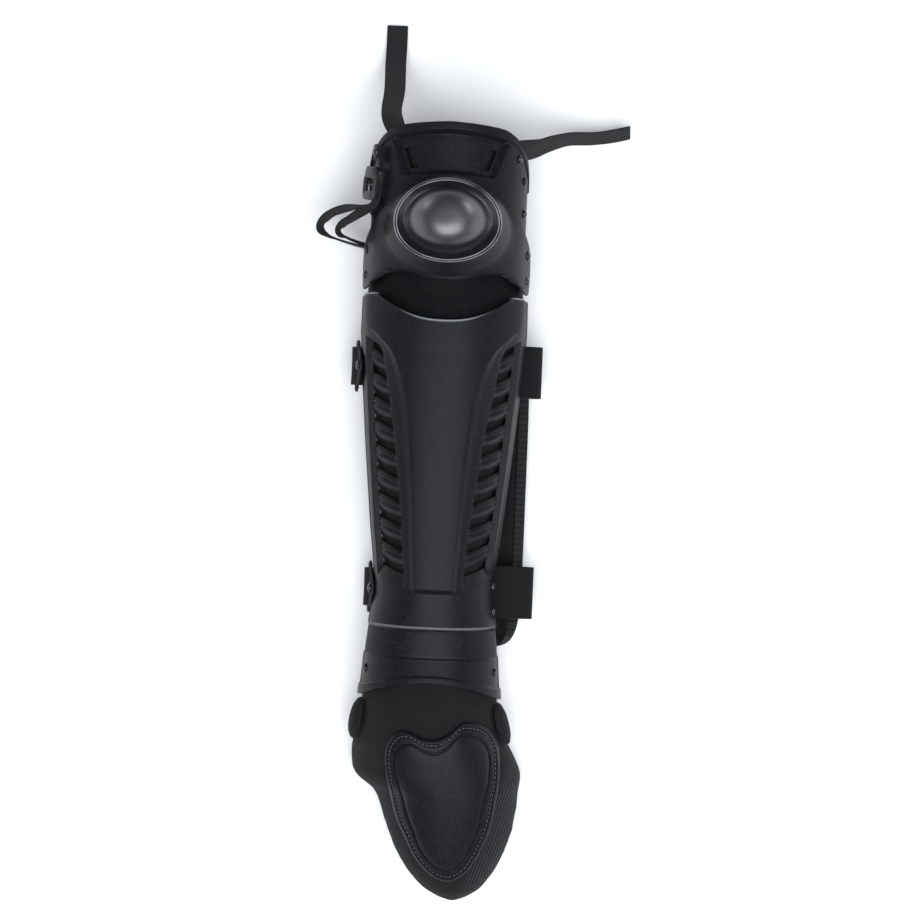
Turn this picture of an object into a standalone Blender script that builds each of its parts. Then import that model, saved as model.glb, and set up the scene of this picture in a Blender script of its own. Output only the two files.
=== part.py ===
"""A riot shin guard lying on its back, built at its real size.

Metres, +Z up. The leg's length runs along Y with the knee at +Y and the toe at -Y, the front of
the guard faces +Z, and the origin lies on the flat back of the calf pad, which rests on the floor.
The wearer's outer side, with the hooks and the buckle, is at -X.
"""

import math

import bmesh
import bpy
from mathutils import Matrix, Vector

# Walls and clearances
WALL = 0.003                 # moulded plastic shells
SEAT_GAP = 0.0003            # between two pieces that touch
SWING_GAP = 0.0016           # between two shells that slide over each other
FOAM = 0.006                 # lining sheets
PADDED_CLOTH = 0.005         # foot cover
WEBBING = 0.0016             # thickness of every strap
FUZZY_STRAP = 0.0026         # thickness of the hook-and-loop straps

# Shin plate
SHIN_TOP = 0.189             # y of its upper corners
SHIN_LENGTH = 0.375
SHIN_HALF_WIDTH = 0.0773
SHIN_DEPTH = 0.077           # open edge to front
EDGE_HEIGHT = 0.038          # the shells' open edges above the floor
TOP_DIP = 0.025              # how far the upper edge dips at the front
TOP_DIP_WIDTH = 0.76         # share of the half width over which it dips
ANKLE_ARCH = 0.019           # how far the lower edge rises at the front
PANEL_RAISE = 0.005          # raised front panel
PANEL_END_LENGTH = 0.012     # its chamfer at the lower end
WINDOW_TOP = 0.0525          # from the shin's top down to the louvre windows
LOUVRE_COUNT = 10
LOUVRE_PITCH = SHIN_LENGTH * 0.0597
LOUVRE_GAP = 0.0062
LOUVRE_CREST = 0.0084        # from a slat's upper edge down to its crest
LOUVRE_DEPTH = 0.005
LOUVRE_RISE = 0.011          # how much higher the slats' outer ends are
WINDOW_WALL = 0.0025         # width of the sloped wall round a window
BAND_TOP = SHIN_LENGTH * 0.8187  # from the shin's top down to the raised band
BAND_WIDTH = 0.029
BAND_RAISE = 0.0035
LIP_WIDTH = 0.0085           # moulded lip along the lower edge
LIP_RAISE = 0.0016
LINING_TOP_DROP = 0.041      # from the shin's top down to its lining
LINING_END_RISE = 0.046      # from its lower end up to the lining's end
PANEL_LINING_TURN = 0.45     # how far round the thigh lining reaches behind the sunk panel
LINING_TURN = 0.93           # how far round the linings reach
LINING_FIT = 0.0022          # between a lining and the deepest face of the shell over it
THIGH_LINING_GAP = 0.022     # from the thigh rivets up to the thigh lining

# Knee: both hinge axes run along X
KNEE_AXIS_RISE = 0.018       # from the shin's top up to the knee rivets
RIVET_SPACING = 0.024        # from the knee rivets up to the thigh rivets
AXIS_HEIGHT = 0.058
LINK_REACH = 0.034           # how far the link rises above its axis
LINK_OVERLAP = 0.004         # how far it runs down inside the shin plate
LINK_FIT = 0.0007            # between the link or a lining and the shell over it
LINK_ARC = 0.045             # radius that the link's upper end follows
LINK_BASE = 0.002            # from the shin's upper corners down to the link's last straight row
LINK_SIDE = 0.014            # how far its sides run down inside the shin plate
LINK_SWING = 0.0006          # the link's extra clearance inside the cap

# Thigh plate and knee cap
THIGH_HALF_WIDTH = 0.0733
THIGH_DEPTH = 0.0775
THIGH_LENGTH = 0.114         # thigh rivets up to the middle of the top edge
RECESS = 0.0042
RECESS_LENGTH = 0.050
RECESS_HALF_WIDTH = 0.055    # at its top
RECESS_TAPER = 0.0125        # how much narrower it is at its bottom
RECESS_WALL = 0.0045
TOP_LIP = 0.008
TOP_LIP_RAISE = 0.0014
SLOT_WIDTH = 0.0066
SLOT_LENGTH = 0.020
SLOT_DROP = 0.023            # from the top edge down to a slot
SLOT_INSET = 0.0032          # from the recess wall in to a slot
DOME_RISE = 0.017            # from the thigh rivets up to the dome's centre
DOME_HALF_WIDTH = 0.0585     # at the foot of its skirt
DOME_HALF_LENGTH = 0.0450
DOME_HEIGHT = 0.0265
DOME_TIP = 0.06              # share of its half width at the innermost ring

# Foot cover
FOOT_OVERLAP = 0.036         # under the shin plate's lower end
FOOT_LENGTH = 0.233
FOOT_FIT = 0.005             # between its upper end and the crown of the shin plate over it
FOOT_HALF_WIDTH = SHIN_HALF_WIDTH * 1.061
FOOT_HEIGHT = EDGE_HEIGHT + SHIN_DEPTH * 0.87 - FOOT_FIT
TOE_PLATE_LENGTH = 0.153
TOE_PLATE_HALF_WIDTH = 0.0545
TOE_PLATE_TOP = 0.056        # from the cover's upper edge down to the toe plate
TOE_PLATE_WALL = 0.0026
CUP_RADIUS = 0.0205
CUP_HEIGHT = 0.009
CUP_DROP = 0.0595            # from the cover's upper edge down to a cup's middle
CUP_TURN = 0.80
CUP_WALL = 0.004
CUP_SEAT = 0.0021            # from the cover's surface to a cup's inner face
TOE_LEAN = 0.04              # sideways for each metre towards the toe
TOE_PLATE_LIFT = 0.0045      # above the cover

# Calf pad and its straps
PAD_HALF_WIDTH = 0.059
PAD_LENGTH = 0.290
PAD_THICKNESS = 0.012
PAD_OFFSET = 0.025           # its middle lies this far towards +X
PAD_MIDDLE = 0.004           # y of its middle
PAD_CURL = 0.014             # how far its long sides turn up
PAD_FLAT = 0.60              # share of its width that lies flat
PAD_ROUNDNESS = 7
PAD_SEAT = 0.0011            # between a strap and the rim of the pad under it
WRAP_LAP = 0.010             # how far a strap's end laps over what it is sewn to
WRAP_BULGE = 0.009           # how far a fold stands out past the pad
WRAP_WIDTH = 0.049
CALF_WEBBING_WIDTH = 0.036
UPPER_STRAP_Y = PAD_MIDDLE + PAD_LENGTH * 0.410
LOWER_STRAP_Y = PAD_MIDDLE - PAD_LENGTH * 0.310

# Webbing at the knee
STRAP_WIDTH = 0.020
STRAP_SEAT = 0.0027          # between a flat strap and the curved plate over it
STRAND_LAP = 0.18            # share of the buckle's length, from its middle to the strap's start
STRAND_DROP = 0.0012         # of the strands below the buckle's lower end
LOOP_REACH = 0.046           # how far the loop stands out past the thigh plate
BUCKLE_LENGTH = 0.031
BUCKLE_WIDTH = 0.023
BUCKLE_THICKNESS = 0.004
BUCKLE_RIM = 0.0035

# Hook plates and rivets
HOOK_LENGTH = 0.031
HOOK_BASE = 0.052
HOOK_THICKNESS = 0.0024
HOOK_BAR = 0.0034            # round the webbing's slot
HOOK_SLOT = 0.0062
HOOK_TOP_LENGTH = 0.025
HOOK_TOP_BASE = 0.025
HOOK_TOP_DROP = 0.0255       # from the thigh plate's top edge down to its rivet
HOOK_TOP_TURN = 0.66
HOOK_TOP_LIFT = 0.0042       # of the plate over the shell, for the webbing behind it
HOOK_TOP_LEAN = 0.30         # sideways lean, as an angle
BUCKLE_LAP = 0.004           # how far the buckle laps over the hook plate's bar
HOOK_TURN = 0.90             # where the plates sit round the shin
HOOK_STANDOFF = 0.0006       # of the flat plate over the curved shell
RIVET_HEAD = 0.0048
RIVET_RISE = 0.0024
RIVET_SHANK = 0.0017
RIVET_FIT = 0.0003

SHIN_END = SHIN_TOP - SHIN_LENGTH
FOOT_TOP = SHIN_END + FOOT_OVERLAP
KNEE_AXIS_Y = SHIN_TOP + KNEE_AXIS_RISE
THIGH_AXIS_Y = KNEE_AXIS_Y + RIVET_SPACING
CAP_HALF_WIDTH = THIGH_HALF_WIDTH + SWING_GAP + WALL
CAP_DEPTH = THIGH_DEPTH + SWING_GAP + WALL
RIVET_TURN = math.asin((AXIS_HEIGHT - EDGE_HEIGHT) / CAP_DEPTH)  # above the open edge, as an angle
QUARTER = math.pi / 2

BLACK = (0.030, 0.032, 0.036)

# The shin's sections: share of its length, shares of its half width and depth
SHIN_SECTIONS = (
    {"down": 0.00, "width": 1.000, "depth": 1.00},
    {"down": 0.13, "width": 1.000, "depth": 0.99},
    {"down": 0.355, "width": 0.915, "depth": 0.95},
    {"down": 0.48, "width": 0.857, "depth": 0.92},
    {"down": 0.605, "width": 0.795, "depth": 0.88},
    {"down": 0.73, "width": 0.730, "depth": 0.83},
    {"down": 0.805, "width": 0.765, "depth": 0.82},
    {"down": 0.88, "width": 0.805, "depth": 0.83},
    {"down": 1.00, "width": 0.850, "depth": 0.87},
)

# The raised panel's edge and the windows' inner edge, as shares of the shin's half width
PANEL_EDGE = (
    {"down": 0.00, "out": 0.900},
    {"down": 0.08, "out": 0.860},
    {"down": 0.101, "out": 0.737},
    {"down": 0.137, "out": 0.590},
    {"down": 0.198, "out": 0.450},
    {"down": 0.259, "out": 0.370},
    {"down": 0.307, "out": 0.340},
    {"down": 0.500, "out": 0.259},
    {"down": 0.645, "out": 0.224},
    {"down": 0.771, "out": 0.194},
    {"down": 1.00, "out": 0.194},
)
WINDOW_INNER = (
    {"down": 0.00, "out": 0.930},
    {"down": 0.08, "out": 0.890},
    {"down": 0.14, "out": 0.723},
    {"down": 0.208, "out": 0.653},
    {"down": 0.281, "out": 0.593},
    {"down": 0.355, "out": 0.530},
    {"down": 0.4285, "out": 0.488},
    {"down": 0.526, "out": 0.427},
    {"down": 0.624, "out": 0.383},
    {"down": 0.720, "out": 0.348},
    {"down": 1.00, "out": 0.348},
)
WINDOW_OUTER = 0.935         # share of the section's own half width

# Thigh plate: its upper and lower outlines round the section, as shares of its length and turn
THIGH_OUTLINE = (
    {"turn": 0.00, "top": 1.000, "bottom": 0.050},
    {"turn": 0.45, "top": 0.975, "bottom": 0.000},
    {"turn": 0.56, "top": 0.945, "bottom": -0.040},
    {"turn": 0.70, "top": 0.880, "bottom": -0.075},
    {"turn": 0.84, "top": 0.780, "bottom": -0.086},
    {"turn": 0.92, "top": 0.690, "bottom": -0.060},
    {"turn": 1.00, "top": 0.600, "bottom": 0.110},
)

# Knee cap's outline: angle round the dome's centre, turn round the leg, and shares of the dome's length
CAP_OUTLINE = (
    {"angle": 90, "turn": 0.00, "up": 1.010},
    {"angle": 62, "turn": 0.29, "up": 0.800},
    {"angle": 40, "turn": 0.49, "up": 0.520},
    {"angle": 20, "turn": 0.70, "up": 0.140},
    {"angle": 2, "turn": 0.84, "up": -0.120},
    {"angle": -10, "turn": 0.905, "up": -0.330},
    {"angle": -20, "turn": 0.925, "up": -0.700},
    {"angle": -30, "turn": 0.890, "up": -1.080},
    {"angle": -38, "turn": 0.830, "up": -1.210},
    {"angle": -46, "turn": 0.720, "up": -1.130},
    {"angle": -54, "turn": 0.600, "up": -0.950},
    {"angle": -62, "turn": 0.500, "up": -0.850},
    {"angle": -72, "turn": 0.360, "up": -0.880},
    {"angle": -82, "turn": 0.170, "up": -0.990},
    {"angle": -90, "turn": 0.00, "up": -1.010},
)

# The dome's rings: shares of its half width and height
DOME_RINGS = (
    {"out": 0.30, "up": 0.950},
    {"out": 0.48, "up": 0.820},
    {"out": 0.585, "up": 0.640},
    {"out": 0.630, "up": 0.410},
    {"out": 0.665, "up": 0.400},
    {"out": 0.780, "up": 0.500},
    {"out": 0.810, "up": 0.550},
    {"out": 0.845, "up": 0.520},
    {"out": 1.000, "up": 0.030},
)

# Foot cover: share of its length, then its middle and half width as shares of the half width,
# and its front and edge heights as shares of its height
FOOT_SECTIONS = (
    {"down": 0.00, "middle": 0.00, "width": 0.700, "front": 0.955, "edge": 0.33},
    {"down": 0.165, "middle": 0.00, "width": 0.790, "front": 0.950, "edge": 0.20},
    {"down": 0.336, "middle": 0.03, "width": 0.900, "front": 0.900, "edge": 0.10},
    {"down": 0.459, "middle": 0.11, "width": 0.985, "front": 0.830, "edge": 0.06},
    {"down": 0.502, "middle": 0.15, "width": 0.960, "front": 0.800, "edge": 0.05},
    {"down": 0.554, "middle": 0.23, "width": 0.855, "front": 0.765, "edge": 0.04},
    {"down": 0.621, "middle": 0.27, "width": 0.800, "front": 0.720, "edge": 0.03},
    {"down": 0.753, "middle": 0.30, "width": 0.700, "front": 0.620, "edge": 0.03},
    {"down": 0.867, "middle": 0.32, "width": 0.545, "front": 0.510, "edge": 0.03},
    {"down": 0.948, "middle": 0.34, "width": 0.360, "front": 0.390, "edge": 0.03},
    {"down": 0.985, "middle": 0.35, "width": 0.200, "front": 0.270, "edge": 0.03},
    {"down": 1.00, "middle": 0.355, "width": 0.090, "front": 0.180, "edge": 0.03},
)

# Toe plate's outline round its middle: angle, and reach as shares of its half width and length
TOE_OUTLINE = (
    {"angle": 90, "reach": 0.845},
    {"angle": 76, "reach": 0.905},
    {"angle": 62, "reach": 1.040},
    {"angle": 50, "reach": 1.115},
    {"angle": 36, "reach": 1.120},
    {"angle": 18, "reach": 1.050},
    {"angle": 0, "reach": 0.990},
    {"angle": -20, "reach": 0.950},
    {"angle": -40, "reach": 0.930},
    {"angle": -60, "reach": 0.960},
    {"angle": -76, "reach": 0.995},
    {"angle": -90, "reach": 1.000},
    {"angle": -104, "reach": 0.970},
    {"angle": -122, "reach": 0.870},
    {"angle": -142, "reach": 0.840},
    {"angle": -162, "reach": 0.900},
    {"angle": 180, "reach": 1.000},
    {"angle": 162, "reach": 1.080},
    {"angle": 146, "reach": 1.085},
    {"angle": 130, "reach": 0.990},
    {"angle": 112, "reach": 0.870},
)


# Link plate: its upper end round the section, as a share of its reach above the knee rivets
LINK_OUTLINE = (
    {"turn": 0.00, "top": 1.00},
    {"turn": 0.15, "top": 1.00},
    {"turn": 0.30, "top": 0.94},
    {"turn": 0.43, "top": 0.62},
    {"turn": 0.56, "top": 0.24},
    {"turn": 0.66, "top": 0.12},
    {"turn": 0.75, "top": 0.20},
    {"turn": 0.84, "top": 0.28},
    {"turn": 0.92, "top": 0.18},
    {"turn": 1.00, "top": -0.36},
)

# Small rivets: turn round the plate, metres above the thigh rivets or share of the shin's length,
# and on the shin how deep they reach
THIGH_RIVETS = (
    {"name": "thigh_side_rivet_top", "turn": 0.68, "up": 0.088},
    {"name": "thigh_side_rivet_mid", "turn": 0.80, "up": 0.069},
    {"name": "thigh_side_rivet_low", "turn": 0.82, "up": 0.039},
    {"name": "thigh_side_rivet_outer", "turn": -0.88, "up": 0.037},
)
SHIN_RIVETS = (
    {"name": "shin_rivet_upper", "turn": 0.86, "down": 0.7173, "depth": WALL},
    {"name": "shin_rivet_lower", "turn": 0.86, "down": 0.7787, "depth": WALL},
    {"name": "ankle_rivet_outer", "turn": -0.80, "down": 0.9307, "depth": 0.0135},
    {"name": "ankle_rivet_inner", "turn": 0.80, "down": 0.9307, "depth": 0.0135},
)


# The strands behind the knee: shares of the loop's reach, metres above the thigh rivets and the floor
KNEE_STRANDS = (
    (
        "knee_strap_outer",
        (
            {"out": 0.42, "up": 0.0390, "high": 0.058, "lean": -1.0},
            {"out": 0.84, "up": 0.0320, "high": 0.049, "lean": -0.45},
            {"out": 1.00, "up": 0.0220, "high": 0.042, "lean": -0.3},
            {"out": 0.85, "up": 0.0140, "high": 0.036, "lean": -0.25},
            {"out": 0.45, "up": 0.0085, "high": 0.029, "lean": -0.15},
            {"out": 0.05, "up": 0.0050, "high": 0.025, "lean": 0.0},
            {"out": -0.25, "up": 0.0040, "high": 0.024, "lean": 0.0},
        ),
        True,
    ),
    (
        "knee_strap_inner",
        (
            {"out": 0.24, "up": 0.0330, "high": 0.037, "lean": -0.5},
            {"out": 0.42, "up": 0.0300, "high": 0.038, "lean": -0.4},
            {"out": 0.58, "up": 0.0250, "high": 0.038, "lean": -0.3},
            {"out": 0.64, "up": 0.0185, "high": 0.036, "lean": -0.2},
            {"out": 0.50, "up": 0.0135, "high": 0.032, "lean": -0.1},
            {"out": 0.15, "up": 0.0085, "high": 0.027, "lean": 0.0},
            {"out": -0.22, "up": 0.0064, "high": 0.025, "lean": 0.0},
        ),
        False,
    ),
)

# Where the loose ends are sewn behind the thigh plate: turn round it, metres past its top edge
FRONT_SEAT = ({"turn": -0.565, "up": -0.034}, {"turn": -0.565, "up": -0.012})
SIDE_SEAT = ({"turn": 0.58, "up": -0.023}, {"turn": 0.69, "up": -0.019})

# Their free parts: x, metres past the thigh plate's top edge and above the floor, direction across
FRONT_STRAP = (
    {"x": -0.0570, "up": 0.012, "high": 0.0640, "across": (1.0, 0.0, 0.45)},
    {"x": -0.0560, "up": 0.040, "high": 0.0380, "across": (1.0, 0.0, 0.05)},
    {"x": -0.0570, "up": 0.068, "high": 0.0130, "across": (1.0, 0.0, 0.0)},
    {"x": -0.0570, "up": 0.088, "high": 0.0030, "across": (1.0, 0.0, 0.0)},
    {"x": -0.0570, "up": 0.108, "high": 0.0012, "across": (1.0, 0.0, 0.0)},
)
SIDE_STRAP = (
    {"x": 0.0790, "up": -0.0120, "high": 0.0480, "across": (0.0, 0.75, 0.65)},
    {"x": 0.0930, "up": -0.0050, "high": 0.0370, "across": (0.0, 0.6, 0.8)},
    {"x": 0.1120, "up": 0.0020, "high": 0.0260, "across": (0.0, 0.45, 0.9)},
    {"x": 0.1350, "up": 0.0050, "high": 0.0160, "across": (0.0, 0.45, 0.9)},
    {"x": 0.1550, "up": 0.0090, "high": 0.0118, "across": (0.0, 0.5, 0.87)},
    {"x": 0.1700, "up": 0.0130, "high": 0.0108, "across": (0.0, 0.5, 0.87)},
)


def smooth(table, place, value, at):
    """The value column at a place along the table, by a curve through its rows."""
    rows = sorted(table, key=lambda row: row[place])
    at = min(max(at, rows[0][place]), rows[-1][place])
    last = max(i for i, row in enumerate(rows[:-1]) if row[place] <= at)
    a, b = rows[last], rows[last + 1]
    before = rows[max(last - 1, 0)]
    after = rows[min(last + 2, len(rows) - 1)]
    span = b[place] - a[place]
    share = (at - a[place]) / span
    slope_a = (b[value] - before[value]) / (b[place] - before[place]) * span
    slope_b = (after[value] - a[value]) / (after[place] - a[place]) * span
    square, cube = share * share, share**3
    return (
        (2 * cube - 3 * square + 1) * a[value]
        + (cube - 2 * square + share) * slope_a
        + (3 * square - 2 * cube) * b[value]
        + (cube - square) * slope_b
    )


def mixed(a, b, share):
    return a + (b - a) * share


def section_point(half_width, depth, edge, turn, raised=0.0):
    """A point of an arched section: turn runs from -1 at one open edge over the front to +1."""
    angle = turn * QUARTER
    out, up = math.sin(angle), math.cos(angle)
    normal = Vector((out / half_width, 0, up / depth)).normalized()
    return Vector((half_width * out, 0, edge + depth * up)) + normal * raised


def shin_size(y, inset=0.0):
    down = (SHIN_TOP - y) / SHIN_LENGTH
    half_width = SHIN_HALF_WIDTH * smooth(SHIN_SECTIONS, "down", "width", down) - inset
    depth = SHIN_DEPTH * smooth(SHIN_SECTIONS, "down", "depth", down) - inset
    return half_width, depth


def shin_surface(turn, y, inset=0.0):
    half_width, depth = shin_size(y, inset)
    point = section_point(half_width, depth, EDGE_HEIGHT, turn)
    return Vector((point.x, y, point.z))


def thigh_surface(turn, y, inset=0.0):
    point = section_point(THIGH_HALF_WIDTH - inset, THIGH_DEPTH - inset, EDGE_HEIGHT, turn)
    return Vector((point.x, y, point.z))


def cap_surface(turn, y, raised=0.0):
    point = section_point(CAP_HALF_WIDTH, CAP_DEPTH, EDGE_HEIGHT, turn, raised)
    return Vector((point.x, y, point.z))


def foot_size(y):
    down = (FOOT_TOP - y) / FOOT_LENGTH
    names = ("middle", "width", "front", "edge")
    middle, width, front, edge = (smooth(FOOT_SECTIONS, "down", name, down) for name in names)
    height = FOOT_HEIGHT * front
    low = FOOT_HEIGHT * edge
    return FOOT_HALF_WIDTH * middle, FOOT_HALF_WIDTH * width, height - low, low


def foot_surface(turn, y):
    middle, half_width, depth, edge = foot_size(y)
    point = section_point(half_width, depth, edge, turn)
    return Vector((point.x + middle, y, point.z))


def foot_height(x, y):
    """The outer surface of the foot cover above a point."""
    middle, half_width, depth, edge = foot_size(y)
    out = min(abs(x - middle) / half_width, 0.999)
    return edge + depth * math.sqrt(1 - out * out)


def material(name, colour, roughness, metallic=0.0):
    made = bpy.data.materials.new(name)
    made.use_nodes = True
    shader = made.node_tree.nodes["Principled BSDF"]
    shader.inputs["Base Color"].default_value = (*colour, 1)
    shader.inputs["Roughness"].default_value = roughness
    shader.inputs["Metallic"].default_value = metallic
    return made


def place(name, mesh, finish, smooth_angle=35):
    """A named object of the guard with its material."""
    mesh.name = name
    mesh.materials.clear()
    mesh.materials.append(finish)
    mesh.shade_smooth()
    mesh.set_sharp_from_angle(angle=math.radians(smooth_angle))
    made = bpy.data.objects.new(name, mesh)
    GUARD.objects.link(made)
    return made


def grid_mesh(rows, left_out=(), ring=False, cap_end=False):
    """A mesh through rows of points. left_out holds (row, column) cells that stay open."""
    shape = bmesh.new()
    made = [[shape.verts.new(point) for point in row] for row in rows]
    columns = len(made[0])
    for i in range(len(made) - 1):
        for j in range(columns if ring else columns - 1):
            if (i, j) in left_out:
                continue
            k = (j + 1) % columns
            shape.faces.new((made[i][j], made[i + 1][j], made[i + 1][k], made[i][k]))
    if cap_end:
        shape.faces.new(list(reversed(made[-1])))
    mesh = bpy.data.meshes.new("grid")
    shape.to_mesh(mesh)
    shape.free()
    return mesh


def solidify(made, thickness, offset=-1.0, even=True):
    wall = made.modifiers.new("wall", "SOLIDIFY")
    wall.thickness = thickness
    wall.offset = offset
    wall.use_even_offset = even
    return made


def drilled(plate, rivets):
    """Cuts a clearance hole through the plate for each rivet, given as a matrix and a depth."""
    for number, (matrix, depth) in enumerate(rivets):
        bpy.ops.mesh.primitive_cylinder_add(
            vertices=8, radius=RIVET_SHANK + RIVET_FIT, depth=depth
        )
        cutter = bpy.context.object
        cutter.name = f"{plate.name}_drill_{number}"
        cutter.matrix_world = matrix
        cutter.hide_render = True
        cutter.display_type = "WIRE"
        for collection in list(cutter.users_collection):
            collection.objects.unlink(cutter)
        CUTTERS.objects.link(cutter)
        hole = plate.modifiers.new(cutter.name, "BOOLEAN")
        hole.operation = "DIFFERENCE"
        hole.object = cutter
    return plate


def facing(point, outward):
    """A frame at a point whose Z axis points outward."""
    turned = outward.to_track_quat("Z", "Y").to_matrix().to_4x4()
    return Matrix.Translation(point) @ turned


def rivet(name, point, outward, shank_length, finish):
    """A domed rivet: its head stands on the surface at the point, and its shank runs inwards."""
    profile = (
        (0.0, RIVET_RISE),
        (RIVET_HEAD * 0.8, RIVET_RISE * 0.75),
        (RIVET_HEAD, 0.0),
        (RIVET_SHANK, 0.0),
        (RIVET_SHANK, -shank_length),
        (0.0, -shank_length),
    )
    shape = bmesh.new()
    points = [shape.verts.new((radius, 0, height)) for radius, height in profile]
    for a, b in zip(points, points[1:]):
        shape.edges.new((a, b))
    mesh = bpy.data.meshes.new(name)
    shape.to_mesh(mesh)
    shape.free()
    made = place(name, mesh, finish)
    turned = made.modifiers.new("turned", "SCREW")
    turned.steps = turned.render_steps = 7
    turned.use_merge_vertices = True
    turned.merge_threshold = 0.00001
    made.matrix_world = facing(point + outward * SEAT_GAP, outward)
    return made


def ribbon(name, route, width, thickness, finish):
    """A strap along a route of rows (point, direction across it), with a rectangular section."""
    rows = []
    for i, (point, across) in enumerate(route):
        ahead = route[min(i + 1, len(route) - 1)][0] - route[max(i - 1, 0)][0]
        side = (across - ahead * across.dot(ahead) / ahead.length_squared).normalized()
        face = side.cross(ahead).normalized()
        half, deep = side * width / 2, face * thickness / 2
        rows.append([point - half - deep, point + half - deep, point + half + deep, point - half + deep])
    mesh = grid_mesh(rows, ring=True)
    shape = bmesh.new()
    shape.from_mesh(mesh)
    bmesh.ops.holes_fill(shape, edges=[edge for edge in shape.edges if edge.is_boundary])
    bmesh.ops.recalc_face_normals(shape, faces=shape.faces)
    shape.to_mesh(mesh)
    shape.free()
    return place(name, mesh, finish)


def eased(points, steps):
    """Rows of (point, across) on a smooth curve through the given rows."""
    made = []
    for i in range(len(points) - 1):
        before, a, b, after = (points[min(max(k, 0), len(points) - 1)] for k in range(i - 1, i + 3))
        for step in range(steps):
            t = step / steps
            made.append(tuple(curve_point(before[k], a[k], b[k], after[k], t) for k in range(2)))
    made.append(points[-1])
    return made


def curve_point(before, a, b, after, t):
    return (
        a * 2 + (b - before) * t
        + (before * 2 - a * 5 + b * 4 - after) * t * t
        + (a * 3 - before - b * 3 + after) * t**3
    ) / 2


def flat_plate(name, outline, holes, thickness, matrix, finish):
    """A plate cut from a flat outline with holes, its thickness centred on the matrix's XY plane."""
    curve = bpy.data.curves.new(name, "CURVE")
    curve.dimensions = "2D"
    curve.fill_mode = "BOTH"
    curve.extrude = thickness / 2
    for loop in (outline, *holes):
        spline = curve.splines.new("POLY")
        spline.points.add(len(loop) - 1)
        spline.use_cyclic_u = True
        for point, (x, y) in zip(spline.points, loop):
            point.co = (x, y, 0, 1)
    drawn = bpy.data.objects.new(name, curve)
    GUARD.objects.link(drawn)
    bpy.context.view_layer.update()
    mesh = bpy.data.meshes.new_from_object(drawn.evaluated_get(bpy.context.evaluated_depsgraph_get()))
    bpy.data.objects.remove(drawn)
    shape = bmesh.new()
    shape.from_mesh(mesh)
    bmesh.ops.remove_doubles(shape, verts=shape.verts, dist=0.00001)
    bmesh.ops.recalc_face_normals(shape, faces=shape.faces)
    shape.to_mesh(mesh)
    shape.free()
    made = place(name, mesh, finish)
    made.matrix_world = matrix
    return made


def both_sides(half):
    """Turns of one half, from the front to the +X edge, made into a row from -X to +X."""
    return [-turn for turn in reversed(half[1:])] + list(half)


def turn_at(out, half_width):
    """The turn round a section at which the surface lies this far out from the middle."""
    return math.asin(min(out / half_width, 1.0)) / QUARTER


def shin_turns(y):
    """The shin's column lines across one half at this place along it, named by what they bound."""
    down = (SHIN_TOP - y) / SHIN_LENGTH
    half_width, _ = shin_size(y)
    panel = turn_at(SHIN_HALF_WIDTH * smooth(PANEL_EDGE, "down", "out", down), half_width)
    inner = turn_at(SHIN_HALF_WIDTH * smooth(WINDOW_INNER, "down", "out", down), half_width)
    outer = turn_at(WINDOW_OUTER * half_width, half_width)
    inner = min(inner, outer - 0.05)
    panel = min(panel, inner - 0.02)
    wall = WINDOW_WALL / (half_width * QUARTER)
    return {
        "front": 0.0,
        "near": panel * 0.35,
        "middle": panel * 0.7,
        "panel": panel,
        "inner": inner,
        "inner_foot": inner + wall,
        "centre": (inner + outer) / 2,
        "outer_foot": outer - wall,
        "outer": outer,
        "flange": (outer + 1) / 2,
        "edge": 1.0,
    }


def louvre_rows():
    """Rows through the windows: how far down from the shin's top, and what the row is."""
    rows = []
    for i in range(LOUVRE_COUNT):
        gap = WINDOW_TOP + i * LOUVRE_PITCH
        rows.append((gap, "gap"))
        rows.append((gap + LOUVRE_GAP, "slat"))
        if i < LOUVRE_COUNT - 1:
            rows.append((gap + LOUVRE_GAP + LOUVRE_CREST, "crest"))
    return rows


def shin_rows():
    windows_end = WINDOW_TOP + (LOUVRE_COUNT - 1) * LOUVRE_PITCH + LOUVRE_GAP
    sill_end = windows_end + LOUVRE_CREST + WINDOW_WALL
    rows = [(0.0, "top"), (LIP_WIDTH * 0.5, "rim"), (WINDOW_TOP * 0.4, "plain")]
    rows += [(WINDOW_TOP - LOUVRE_CREST * 0.6, "head")]
    rows += louvre_rows()
    rows += [(sill_end, "sill"), (sill_end + PANEL_END_LENGTH, "panel_end")]
    rows += [
        (BAND_TOP, "low"),
        (BAND_TOP + BAND_RAISE, "band"),
        (BAND_TOP + BAND_WIDTH - BAND_RAISE, "band"),
        (BAND_TOP + BAND_WIDTH, "low"),
        (SHIN_LENGTH - LIP_WIDTH - LIP_RAISE, "low"),
        (SHIN_LENGTH - LIP_WIDTH, "lip"),
        (SHIN_LENGTH, "lip"),
    ]
    return rows


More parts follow.
